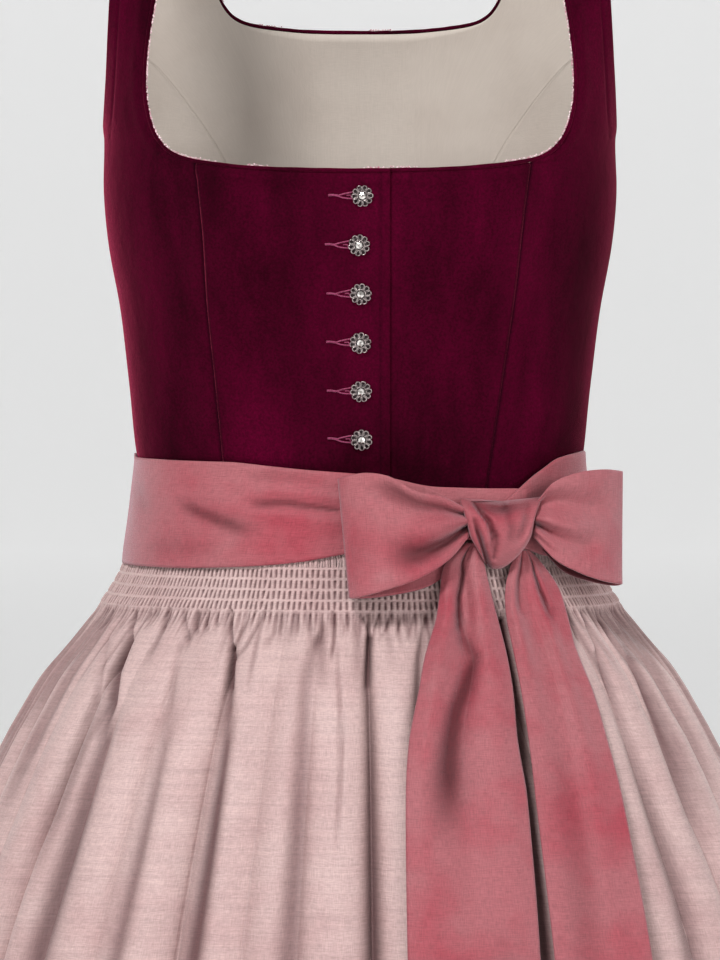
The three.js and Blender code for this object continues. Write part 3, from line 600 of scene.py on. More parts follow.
def joined(parts):
    """Several point and face lists as one, with each part's finish number"""
    points, faces, slots = [], [], []
    start = 0
    for part_points, part_faces, slot in parts:
        points.append(part_points)
        faces += [tuple(n + start for n in face) for face in oriented(part_points, part_faces)]
        slots += [slot] * len(part_faces)
        start += len(part_points)
    return np.concatenate(points), faces, slots


# Bodice

BUST = {"across": 70, "height": 126, "rise": 9, "width": 38, "tall": 42}


def bodice_section(height):
    section = section_at(BODICE, height)
    rise = np.clip((height - CHEST_HEIGHT) / (SHOULDER_HEIGHT - CHEST_HEIGHT), 0, 1)
    section["front"] = section["front"] * (1 - rise ** 1.35) ** 0.625
    section["back"] = section["back"] * (1 - rise ** 2.4) ** 0.55
    return section


def bodice_point(angle, height):
    x, y = ring(bodice_section(height), angle)
    sideways = (np.abs(x) - BUST["across"]) / BUST["width"]
    upwards = (height - BUST["height"]) / BUST["tall"]
    swell = BUST["rise"] * np.exp(-sideways ** 2 - upwards ** 2)
    return stack(x, np.where(y < 0, y - swell, y), height)


EDGE = ["height", "across"]
FRONT_SEAM = {
    "right": table(EDGE, [[-18, 78.5], [3, 80.6], [48, 84.6], [94, 89], [135, 91.5], [174, 95.4]]),
    "left": table(EDGE, [[-18, 73.6], [3, 76.6], [48, 83], [94, 89.5], [135, 94.6], [174, 99]]),
}
FRONT_STRAP = table(["height", "neck", "armhole"], [
    [174, 97, 154], [175.2, 102, 154], [177.3, 107.5, 154], [181.5, 114, 154], [190, 120.5, 154],
    [203, 125, 152.6], [220, 127, 151.4], [250, 125, 149.4], [300, 116, 145.6], [340, 107, 143],
    [372, 100, 142],
])
BACK_ARMHOLE = table(EDGE, [[190, 154], [200, 152], [220, 148], [252, 144], [300, 142], [372, 142]])
BACK_BAND = table(["station", "neck_across", "neck_height", "outer_across", "outer_height"], [
    [0, 0, 260, 0, -18], [1, 15, 260, 21, -18], [2, 30, 260.3, 42, -18], [3, 39, 260.8, 43.5, 8],
    [4, 47, 261.5, 46, 35], [5, 55, 262.3, 52.5, 75], [6, 62, 263.2, 61, 110], [7, 69, 264.5, 70.5, 145],
    [8, 76, 267, 84, 180], [9, 82, 271.5, 105, 212], [10, 87, 279, 126, 237], [11, 91, 290, 143.3, 252],
    [12, 94, 304, 142.6, 280], [13, 97, 325, 142, 308], [14, 99, 348, 142, 338], [15, 99.8, 363, 142, 360],
    [16, 100, 371.9, 142, 371.9],
])
OVERLAP = {"edge": 17.4, "underlap": -10, "ramp_start": -22, "ramp_end": -12, "rise": 2}
TOP = 371.9
BODICE_BOTTOM = -18
SIDE_ANGLE = 90
HALF_GAP = 0.1
MILLIMETRES_PER_DEGREE = 2.3
VELVET_THICKNESS = 1.5
SEAM_WIDTH = 0.7
SEAM_DEPTH = 0.04


def neck_height(across):
    return NECK_HEIGHT - NECK_DIP * (1 - np.minimum(np.abs(across) / 97, 1) ** 3)


def overlap_rise(across):
    return OVERLAP["rise"] * smoothstep(across, OVERLAP["ramp_start"], OVERLAP["ramp_end"])


# Presses in the velvet: path of across and height, width, depth, strength at the ends
VELVET_CREASES = [
    [[(-62, 160), (-40, 152), (-20, 158)], (7, 9), 0.7],
    [[(60, 158), (84, 150), (96, 136)], (8, 10), 0.8],
    [[(-112, 168), (-104, 130), (-108, 92)], (9, 12), 0.9],
    [[(112, 166), (104, 128), (108, 86)], (9, 12), 0.9],
    [[(-58, 96), (-60, 52), (-50, 6)], (10, 8), 0.8],
    [[(34, 66), (42, 30), (38, -6)], (7, 9), 0.7],
    [[(64, 92), (62, 48), (56, 8)], (10, 7), 0.9],
    [[(-34, 60), (-30, 22), (-34, -8)], (6, 8), 0.5],
    [[(102, 60), (98, 30), (94, -4)], (6, 6), 0.8],
    [[(-106, 54), (-100, 24), (-96, -6)], (6, 6), 0.8],
    [[(-4, 30), (-28, 8), (-60, 2)], (5, 6), 0.5],
    [[(0, 124), (-26, 112), (-56, 118)], (8, 9), 0.5],
    [[(24, 136), (44, 128), (58, 132)], (8, 9), -0.5],
]


def seam_groove(distance):
    """How far a seam draws the velvet in at a distance from it"""
    return -SEAM_DEPTH * np.exp(-(distance / SEAM_WIDTH) ** 2)


def seam_shade(distance):
    """How dark a seam looks at a distance from it, from 0 to 1"""
    return 0.9 * np.exp(-(distance / SEAM_WIDTH) ** 2)


def velvet_relief(points, facing):
    """Small uneven presses all over a panel, from its points"""
    across, height = points[..., 0], points[..., 2]
    relief = -creases(across, height, VELVET_CREASES) if facing == "front" else 0
    wander = 0.35 * np.sin(across / 17 + 1.3 * np.sin(height / 31)) * np.sin(height / 23 + across / 60)
    return relief + wander


# The rolled edge below the neck binding, and the velvet tucked under it
NECK_ROLL = {"below": 4.5, "width": 3.0, "rise": 1.3}
NECK_TUCK = {"width": 0.9, "depth": 0.8}


def front_panel(edges, fine, rise):
    """A front panel between two edges, from the neck down to under the ties"""
    levels = np.concatenate([[1.0], 1 - np.linspace(0, 1, 110)[1:] ** 1.05])
    straight = BODICE_BOTTOM + levels[:, None] * (NECK_HEIGHT - BODICE_BOTTOM) + 0 * fine[None]
    start, end = edges(straight)
    across = start + (end - start) * fine[None]
    top = neck_height(across)
    height = BODICE_BOTTOM + levels[:, None] * (top - BODICE_BOTTOM)
    section = bodice_section(height)
    angle = angle_across(section, across)
    base = bodice_point(angle, height)
    relief = velvet_relief(base, "front") + rise(across)
    uneven = 0.6 + 0.5 * np.sin(across / 9 + 1) * np.sin(across / 5)
    rolled = np.exp(-((height - top + NECK_ROLL["below"]) / NECK_ROLL["width"]) ** 2) * uneven
    tucked = np.exp(-((height - top) / NECK_TUCK["width"]) ** 2)
    relief = relief + NECK_ROLL["rise"] * rolled - NECK_TUCK["depth"] * tucked
    return angle, height, across, relief


def right_seam(height):
    return -along(FRONT_SEAM["right"], "across", height)


def left_seam(height):
    return along(FRONT_SEAM["left"], "across", height)


def right_edges(height):
    return right_seam(height), 0 * height + OVERLAP["edge"]


def left_edges(height):
    return 0 * height + OVERLAP["underlap"], left_seam(height)


def no_rise(across):
    return 0 * across


# The overlap's edge: its row of stitches, its fold, and where the underlap is pressed in below it
EDGE_STITCH = {"inset": 5.5, "width": 1.0, "depth": 0.3}
EDGE_FOLD = {"width": 1.6, "depth": 0.5}
UNDERLAP_PRESS = (14, 19)


def add_fronts():
    fine_right = np.unique(np.concatenate([np.linspace(0, 0.6, 40), np.linspace(0.6, 1, 44)]))
    angle, height, across, relief = front_panel(right_edges, fine_right, overlap_rise)
    from_seam = across - right_seam(height)
    from_stitches = across - OVERLAP["edge"] + EDGE_STITCH["inset"]
    stitches = EDGE_STITCH["depth"] * np.exp(-(from_stitches / EDGE_STITCH["width"]) ** 2)
    fold_start = OVERLAP["edge"] - EDGE_FOLD["width"]
    fold = EDGE_FOLD["depth"] * smoothstep(across, fold_start, OVERLAP["edge"])
    relief = relief + seam_groove(from_seam) - stitches - fold
    outer, inner = wall(bodice_point, angle, height, relief, VELVET_THICKNESS)
    shade = seam_shade(from_seam) + 0.5 * seam_shade(from_stitches)
    right = cloth_piece("front_right", "velvet", outer, inner, "velvet", hollow=shade)

    fine_left = np.linspace(0, 1, 66)
    angle, height, across, relief = front_panel(left_edges, fine_left, no_rise)
    from_seam = across - left_seam(height)
    under_overlap = 1 - smoothstep(across, *UNDERLAP_PRESS)
    relief = relief + seam_groove(from_seam) - under_overlap
    outer, inner = wall(bodice_point, angle, height, relief, VELVET_THICKNESS)
    left = cloth_piece("front_left", "velvet", outer, inner, "velvet", hollow=seam_shade(from_seam))
    return right, left


# The strap's rolled neck edge, and the stitches along the armhole
STRAP_ROLL = {"inset": 5, "width": 3, "rise": 0.6}
ARMHOLE_STITCH = {"inset": 6, "width": 0.8, "depth": 0.5, "shade": 0.4}
FAR = 99

# Heights between which the side fronts need close rows, where the neck and the armhole begin
CLOSE_ROWS = (172, 192)
SEAM_TOP = NECK_HEIGHT + 4


def add_side_fronts():
    low, high = CLOSE_ROWS
    parts = [np.linspace(BODICE_BOTTOM, low, 84), np.linspace(low, high, 22), np.linspace(high, TOP, 60)]
    heights = np.unique(np.concatenate(parts))[::-1]
    pieces = {}
    for side, sign in (("right", -1), ("left", 1)):
        section = bodice_section(heights)
        seam = along(FRONT_SEAM[side], "across", heights)
        neck = along(FRONT_STRAP, "neck", heights)
        start = np.where(heights > NECK_HEIGHT, neck, seam)
        armhole = along(FRONT_STRAP, "armhole", heights)
        inner_angle = angle_across(section, start)
        side_seam = SIDE_ANGLE - HALF_GAP
        outer_angle = np.where(heights > CHEST_HEIGHT, angle_across(section, armhole), side_seam)
        share = np.linspace(0, 1, 46)
        angle = inner_angle[:, None] + (outer_angle - inner_angle)[:, None] * share[None]
        height = heights[:, None] + 0 * angle
        base = bodice_point(sign * angle, height)
        from_seam = np.abs(base[..., 0]) - seam[:, None]
        relief = velvet_relief(base, "front")
        relief = relief + np.where(height < SEAM_TOP, seam_groove(from_seam), 0)
        edge = np.where(height > NECK_HEIGHT, np.abs(base[..., 0]) - neck[:, None], FAR)
        rolled = np.exp(-((edge - STRAP_ROLL["inset"]) / STRAP_ROLL["width"]) ** 2)
        relief = relief + STRAP_ROLL["rise"] * rolled
        arm = np.where(height > CHEST_HEIGHT, np.abs(np.abs(base[..., 0]) - armhole[:, None]), FAR)
        from_stitches = arm - ARMHOLE_STITCH["inset"]
        stitches = np.exp(-(from_stitches / ARMHOLE_STITCH["width"]) ** 2)
        relief = relief - ARMHOLE_STITCH["depth"] * stitches
        from_side = (SIDE_ANGLE - angle) * MILLIMETRES_PER_DEGREE
        relief = relief + np.where(height < CHEST_HEIGHT, seam_groove(from_side), 0)
        outer, inner = wall(bodice_point, sign * angle, height, relief, VELVET_THICKNESS)
        shade = np.where(height < SEAM_TOP, seam_shade(from_seam), 0)
        shade = shade + ARMHOLE_STITCH["shade"] * seam_shade(from_stitches)
        pieces[side] = cloth_piece(f"side_front_{side}", "velvet", outer, inner, "velvet", hollow=shade)
    return pieces


def back_seam(height):
    """The back's side seam, from the outer edge of the middle panel"""
    stations = np.linspace(2, 11, 240)
    edge_heights = along(BACK_BAND, "outer_height", stations)
    return np.interp(height, edge_heights, along(BACK_BAND, "outer_across", stations))


LINING = {"outside": -2.0, "thickness": 1.0}
LINING_TUCK = {"depth": 0.5, "steepness": 30, "width": 1.2}
SIDE_BACK = {"top": 249, "millimetres_per_degree": 2.2, "width": 100}


def add_side_backs():
    heights = np.linspace(BODICE_BOTTOM, SIDE_BACK["top"], 110)[::-1]
    pieces = {}
    section = bodice_section(heights)
    inner_angle = angle_across(section, back_seam(heights), "back")
    armhole = angle_across(section, along(BACK_ARMHOLE, "across", heights), "back")
    outer_angle = np.where(heights > CHEST_HEIGHT, armhole, SIDE_ANGLE + HALF_GAP)
    share = np.linspace(0, 1, 44)
    angle = outer_angle[:, None] + (inner_angle - outer_angle)[:, None] * share[None]
    height = heights[:, None] + 0 * angle
    for side, sign in (("right", -1), ("left", 1)):
        base = bodice_point(sign * angle, height)
        degrees = (1 - share[None]) * np.abs(inner_angle - outer_angle)[:, None]
        relief = velvet_relief(base, "back")
        relief = relief + seam_groove(degrees * SIDE_BACK["millimetres_per_degree"])
        relief = relief + np.where(height < CHEST_HEIGHT, seam_groove(share[None] * SIDE_BACK["width"]), 0)
        outer, inner = wall(bodice_point, sign * angle, height, relief, VELVET_THICKNESS)
        pieces[side] = cloth_piece(f"side_back_{side}", "velvet", outer, inner, "velvet")
        towards_seam = (1 - share[None]) * LINING_TUCK["steepness"]
        tuck = -LINING_TUCK["depth"] * np.exp(-towards_seam ** 2) + 0 * height
        outer, inner = wall(bodice_point, sign * angle, height, tuck + LINING["outside"], LINING["thickness"])
        pieces[f"lining_{side}"] = cloth_piece(f"lining_side_back_{side}", "cloth", outer, inner, "lining")
    return pieces


def add_back_centre():
    stations = np.linspace(-16, 16, 151)
    share = np.linspace(0, 1, 56)
    side = np.sign(stations)
    place = np.abs(stations)
    neck_z = along(BACK_BAND, "neck_height", place)
    neck_angle = angle_across(bodice_section(neck_z), side * along(BACK_BAND, "neck_across", place), "back")
    outer_z = along(BACK_BAND, "outer_height", place)
    outer_across = side * along(BACK_BAND, "outer_across", place)
    outer_angle = angle_across(bodice_section(outer_z), outer_across, "back")
    angle = neck_angle[:, None] + (outer_angle - neck_angle)[:, None] * share[None]
    height = neck_z[:, None] + (outer_z - neck_z)[:, None] * share[None]
    base = bodice_point(angle, height)
    width = np.linalg.norm(base - base[:, -1:], axis=-1)
    on_seam = (place > 2)[:, None]
    relief = velvet_relief(base, "back") + np.where(on_seam, seam_groove(width), 0)
    outer, inner = wall(bodice_point, angle, height, relief, VELVET_THICKNESS)
    velvet = cloth_piece("back_centre", "velvet", outer, inner, "velvet")
    tuck = np.where(on_seam, -LINING_TUCK["depth"] * np.exp(-(width / LINING_TUCK["width"]) ** 2), 0)
    outer, inner = wall(bodice_point, angle, height, tuck + LINING["outside"], LINING["thickness"])
    lining = cloth_piece("lining_back_centre", "cloth", outer, inner, "lining")
    return velvet, lining


# Piping along the neckline, with a narrow picot edge just inside it

PIPING = {"radius": 1.25, "core": 0.5, "gap": -0.3}
PICOT = {"pitch": 1.5, "radius": 0.5, "corner": 84}


def resample(path, pitch):
    steps = np.concatenate([[0], np.cumsum(np.linalg.norm(np.diff(path, axis=0), axis=1))])
    at = np.linspace(0, steps[-1], max(int(steps[-1] / pitch), 2))
    return np.stack([np.interp(at, steps, path[:, k]) for k in range(3)], axis=1)


def ball(centre, radius, sides=6):
    """A small round bead as points and faces"""
    path = np.asarray(centre) + np.outer(np.linspace(-1, 1, 5) * radius, (0, 0, 1))
    widths = radius * np.array([0.35, 0.85, 1, 0.85, 0.35])
    return closed_tube(path, widths, sides)


def binding(node, angle, height, depth, outwards):
    """Piping along a neck edge with its picot; outwards is the side of the path the edge is on"""
    name = f"{node}_piping"
    middle = lift(bodice_point, angle, height, depth)
    normal = lift(bodice_point, angle, height, depth + 1) - middle
    direction = np.gradient(middle, axis=0)
    away = np.cross(direction, normal)
    away *= outwards / np.linalg.norm(away, axis=1, keepdims=True)
    centre = middle + away * (PIPING["radius"] + PIPING["gap"])
    pulled = 0.12 * np.sin(np.arange(len(centre)) / 3.1) * np.sin(np.arange(len(centre)) / 7.3)
    outer = tube_grid(centre, PIPING["radius"] + pulled, 14, normal)
    inner = tube_grid(centre, PIPING["core"], 14, normal)
    piping = cloth_piece(node, "piping", outer, inner, "velvet")
    line = centre + away * (PIPING["radius"] + 0.15) - normal * 0.3
    line = resample(line, PICOT["pitch"] / 2)
    parts = []
    for i, point in enumerate(line):
        out = away[min(int(i / len(line) * len(away)), len(away) - 1)]
        showing = abs(point[0]) > PICOT["corner"] or math.sin(i / 7) + math.sin(i / 17 + 1) > 0.9
        if not showing or random.uniform() < 0.2:
            continue
        reach = (0.4 if i % 2 else -0.2) + random.uniform(-0.35, 0.25)
        size = PICOT["radius"] * random.uniform(0.75, 1.2)
        parts.append((*ball(point + out * reach, size), 0))
    points, faces, slots = joined(parts)
    trim = make_object(f"{name}_picot", points, faces, None, ("picot",), slots)
    return piping


def add_bindings():
    strap = np.concatenate([np.linspace(174, 192, 30), np.linspace(192, TOP, 70)[1:]])
    neck = along(FRONT_STRAP, "neck", strap)

    def neckline(start, corner, side):
        straight = np.linspace(start, side * corner, 70)
        across = np.concatenate([straight, side * neck])
        height = np.concatenate([neck_height(straight), strap])
        path = stack(across, 0 * across, height)
        path = resample(path, 1.6)
        for _ in range(4):
            path[1:-1] = (path[:-2] + 2 * path[1:-1] + path[2:]) / 4
        return path[:, 0], path[:, 2]

    across, height = neckline(OVERLAP["edge"], 92, -1)
    right = binding("neck_binding_front_right", angle_across(bodice_section(height), across), height,
                    overlap_rise(across) - VELVET_THICKNESS / 2, 1)
    across, height = neckline(OVERLAP["edge"] - 0.4, 92, 1)
    left = binding("neck_binding_front_left", angle_across(bodice_section(height), across), height,
                   0 * across - VELVET_THICKNESS / 2, -1)
    stations = np.linspace(-16, 16, 300)
    place = np.abs(stations)
    height = along(BACK_BAND, "neck_height", place)
    across = np.sign(stations) * along(BACK_BAND, "neck_across", place)
    back = binding("neck_binding_back", angle_across(bodice_section(height), across, "back"), height,
                   0 * across - VELVET_THICKNESS / 2, 1)
    return right, left, back


# Buttons and buttonholes

BUTTON = {
    "count": 6, "top": 154.3, "bottom": 13.8, "across": [1.4, -0.6, 0.4, 0.2, 0.6, 0.9],
    "petals": 10, "scale": 0.87,
}
STONE_SLOT = 2
STITCHES_PER_LINE = 26


def circle(radius, level, count, start=0.0):
    turns = start + np.linspace(0, 2 * np.pi, count, endpoint=False)
    return np.stack([radius * np.cos(turns), radius * np.sin(turns), np.full(count, level)], axis=1)


def looped(path, radius, sides=6):
    """A closed ring of wire along a closed path"""
    count = len(path)
    direction = np.roll(path, -1, axis=0) - np.roll(path, 1, axis=0)
    direction /= np.linalg.norm(direction, axis=1, keepdims=True)
    first = np.cross(direction, (0, 0, 1))
    first /= np.maximum(np.linalg.norm(first, axis=1, keepdims=True), 1e-9)
    second = np.cross(direction, first)
    turns = np.linspace(0, 2 * np.pi, sides, endpoint=False)
    radius = np.broadcast_to(radius, count)[:, None, None]
    grid = path[:, None] + radius * (first[:, None] * np.cos(turns)[None, :, None]
                                     + second[:, None] * np.sin(turns)[None, :, None])
    return grid.reshape(-1, 3), ring_faces(count, sides, closed=True)


def turned(profile, count):
    """A disc from rows of level and radius"""
    rings = [circle(radius, level, count) for level, radius in profile]
    return np.concatenate(rings), capped_faces(len(rings), count)


def button_parts():
    """A filigree button: petals of bent wire round a cluster of small stones, over a dark plate"""
    silver, recess, stone = 0, 1, STONE_SLOT
    parts = [(*turned([(0, 4.6), (0.7, 6.2), (1.0, 6.0), (1.3, 4.4), (1.9, 3.0)], 36), recess)]
    for k in range(BUTTON["petals"]):
        turn = 2 * math.pi * (k + 0.35) / BUTTON["petals"]
        u = np.linspace(0, 2 * np.pi, 16, endpoint=False)
        along_petal = 5.35 + 1.6 * np.cos(u)
        across_petal = 1.4 * np.sin(u) * (1 + 0.25 * np.cos(u))
        level = 1.35 + 0.25 * np.cos(u) + 0.12 * random.uniform(-1, 1)
        path = np.stack([along_petal * math.cos(turn) - across_petal * math.sin(turn),
                         along_petal * math.sin(turn) + across_petal * math.cos(turn), level], axis=1)
        parts.append((*looped(path, 0.36), silver))
        middle = turn + math.pi / BUTTON["petals"]
        parts.append((*ball((4.1 * math.cos(middle), 4.1 * math.sin(middle), 1.9), 0.55), silver))
    rope = circle(3.35, 2.1, 44)
    parts.append((*looped(rope, 0.34 + 0.1 * np.sin(np.arange(44) * 2 * np.pi / 4)), silver))
    parts.append((*turned([(1.9, 2.5), (2.7, 2.3), (3.2, 1.3)], 7), stone))
    for k in range(6):
        turn = 2 * math.pi * (k + 0.2) / 6
        centre = (2.35 * math.cos(turn), 2.35 * math.sin(turn), 2.55)
        parts.append((*ball(centre, 0.62 if k % 2 else 0.5, 5), stone if k % 2 else silver))
    parts.append((*ball((0.1, 0.1, 3.1), 0.85, 6), stone))
    return joined(parts)


def front_place(across, height, offset):
    """Points over the front's middle, out from the velvet"""
    across, height = np.broadcast_arrays(np.asarray(across, float), np.asarray(height, float))
    angle = angle_across(bodice_section(height), across)
    return lift(bodice_point, angle, height, overlap_rise(across) + offset)


BUTTONHOLE = {
    "bar": [(-18.6, 0.1), (-16, 0.3), (-13.4, 0)],
    "upper": [(-13.4, 0.1), (-10.5, 1.1), (-7.5, 1.7), (-4.6, 2.3)],
    "lower": [(-13.4, -0.1), (-10.5, -1.2), (-7.5, -1.6), (-4.6, -1.7)],
    "tail": [(-8.2, 0.2), (-6, 0.3), (-4.4, -2.4)],
}


def add_buttons():
    heights = np.linspace(BUTTON["top"], BUTTON["bottom"], BUTTON["count"])
    for i, height in enumerate(heights):
        points, faces, slots = button_parts()
        across = BUTTON["across"][i]
        seat = front_place(across, height, 0.3)
        outwards = front_place(across, height, 1.3) - seat
        spin = Vector((0, 0, 1)).rotation_difference(Vector(outwards))
        turn = np.array(spin.to_matrix()) @ rotation_about_z(random.uniform(0, 0.7))
        placed = points * BUTTON["scale"] @ turn.T + seat
        finishes = ("silver", "recess", "stone")
        button = make_object(f"button_{i + 1}_filigree", placed, faces, None, finishes, slots)
        for polygon in button.data.polygons:
            if polygon.material_index == STONE_SLOT:
                polygon.use_smooth = False
        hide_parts(f"button_{i + 1}")
        parts = []
        for name, line in BUTTONHOLE.items():
            line = np.array(line, float)
            steps = np.linspace(0, len(line) - 1, STITCHES_PER_LINE)
            across = BUTTON["across"][i] - 1 + np.interp(steps, np.arange(len(line)), line[:, 0])
            rise = np.interp(steps, np.arange(len(line)), line[:, 1]) + random.uniform(-0.2, 0.2)
            path = front_place(across, height + rise, 0.15)
            width = {"bar": 0.65, "tail": 0.35}.get(name, 0.42)
            stitches = width * (1 + 0.22 * np.sin(np.arange(STITCHES_PER_LINE) * 2.4))
            parts.append((*closed_tube(path, stitches, 6), 0))
        points, faces, slots = joined(parts)
        hole = make_object(f"buttonhole_{i + 1}", points, faces, None, ("thread",), slots)


def rotation_about_z(turn):
    cosine, sine = math.cos(turn), math.sin(turn)
    return np.array([[cosine, -sine, 0], [sine, cosine, 0], [0, 0, 1]])


# Skirt and apron

FRONT_VALLEYS = [
    [-90, 0.6], [-81, 0.4], [-71, 0.6], [-62, 0.4], [-53, 0.8], [-45, 0.35], [-36, 0.5], [-24.5, 1],
    [-15, 0.45], [-8, 0.35], [1.6, 0.9], [12, 0.6], [21, 0.7], [29, 0.9], [40, 0.5], [49, 0.6],
    [59, 0.8], [69, 0.5], [80, 0.7],
]
APRON_EDGE = 99
BACK_VALLEYS = [
    [90, 0.6], [APRON_EDGE, 0.5], [114, 0.8], [130, 0.6], [144.5, 0.9], [160, 0.5], [172, 0.8], [187.5, 0.6],
    [202, 0.9], [218, 0.5], [232, 0.8], [246.5, 0.6], [360 - APRON_EDGE, 0.5], [270, 0.6],
]
VALLEY = ["angle", "depth"]
APRON_HEM = -660
SKIRT_HEM = -690
SKIRT_CLOTH = 1.4
SKIRT_TOP = -18.3
HEM_STITCHES = {
    "skirt": {"height": SKIRT_HEM + 38, "width": 1.2, "depth": 0.5},
    "apron": {"height": APRON_HEM + 30, "width": 1.4, "depth": 0.6},
}


def draw_in_hem(points, height, stitches):
    """The row of stitches above a hem draws the cloth in a little"""
    hem = stitches["depth"] * np.exp(-((height - stitches["height"]) / stitches["width"]) ** 2)
    points[..., :2] *= (1 - hem / 300)[..., None]


def fold_swing(angle, valleys):
    """Folds between valleys: from -1 in a deep valley to 1 on a crest"""
    key, depth = valleys["angle"], valleys["depth"]
    i = np.clip(np.searchsorted(key, angle) - 1, 0, len(key) - 2)
    u = np.clip((angle - key[i]) / (key[i + 1] - key[i]), 0, 1)
    deep = depth[i] + (depth[i + 1] - depth[i]) * u
    return 1 - deep + deep * (2 * np.sin(np.pi * u) ** 0.7 - 1)


def skirt_point(angle, height, out, valleys):
    section = section_at(SKIRT, height)
    x, y = ring(section, angle)
    nx, ny = ring_normal(section, angle)
    move = section["fold"] * fold_swing(angle, valleys) + out
    return stack(x + nx * move, y + ny * move, height)


# How a narrow valley starts below its top and ends, as shares of its length, and how uneven
# valleys of like kind are: their spacing, as a share, and their drift in degrees
VALLEY_START = (0, 0.18)
VALLEY_END = (0.45, 1)
UNEVEN = {"spacing": 0.42, "drift": 1.2}


def valley_cuts(angle, height, rows):
    """Narrow valleys: rows of angle at the top, drift, top, bottom, width, depth"""
    move = np.zeros(np.shape(angle))
    for turn, drift, top, bottom, width, depth in rows:
        share = np.clip((top - height) / (top - bottom), 0, 1)
        middle = turn + drift * share
        window = smoothstep(share, *VALLEY_START) * (1 - smoothstep(share, *VALLEY_END))
        window = np.where(height > top, 0, window)
        distance = (angle - middle) / (width * (1 + share))
        move -= depth * window * np.exp(-distance ** 2)
    return move


def uneven_valleys(start, end, count, top, lengths, widths, depths):
    """Many valleys of like kind, unevenly spaced, for the gathers under a stitched edge"""
    shifts = random.uniform(-UNEVEN["spacing"], UNEVEN["spacing"], count) * (end - start) / count
    spots = np.linspace(start, end, count) + shifts
    return [(spot, random.uniform(-1, 1) * UNEVEN["drift"], top, top - random.uniform(*lengths),
             random.uniform(*widths), random.uniform(*depths)) for spot in spots]


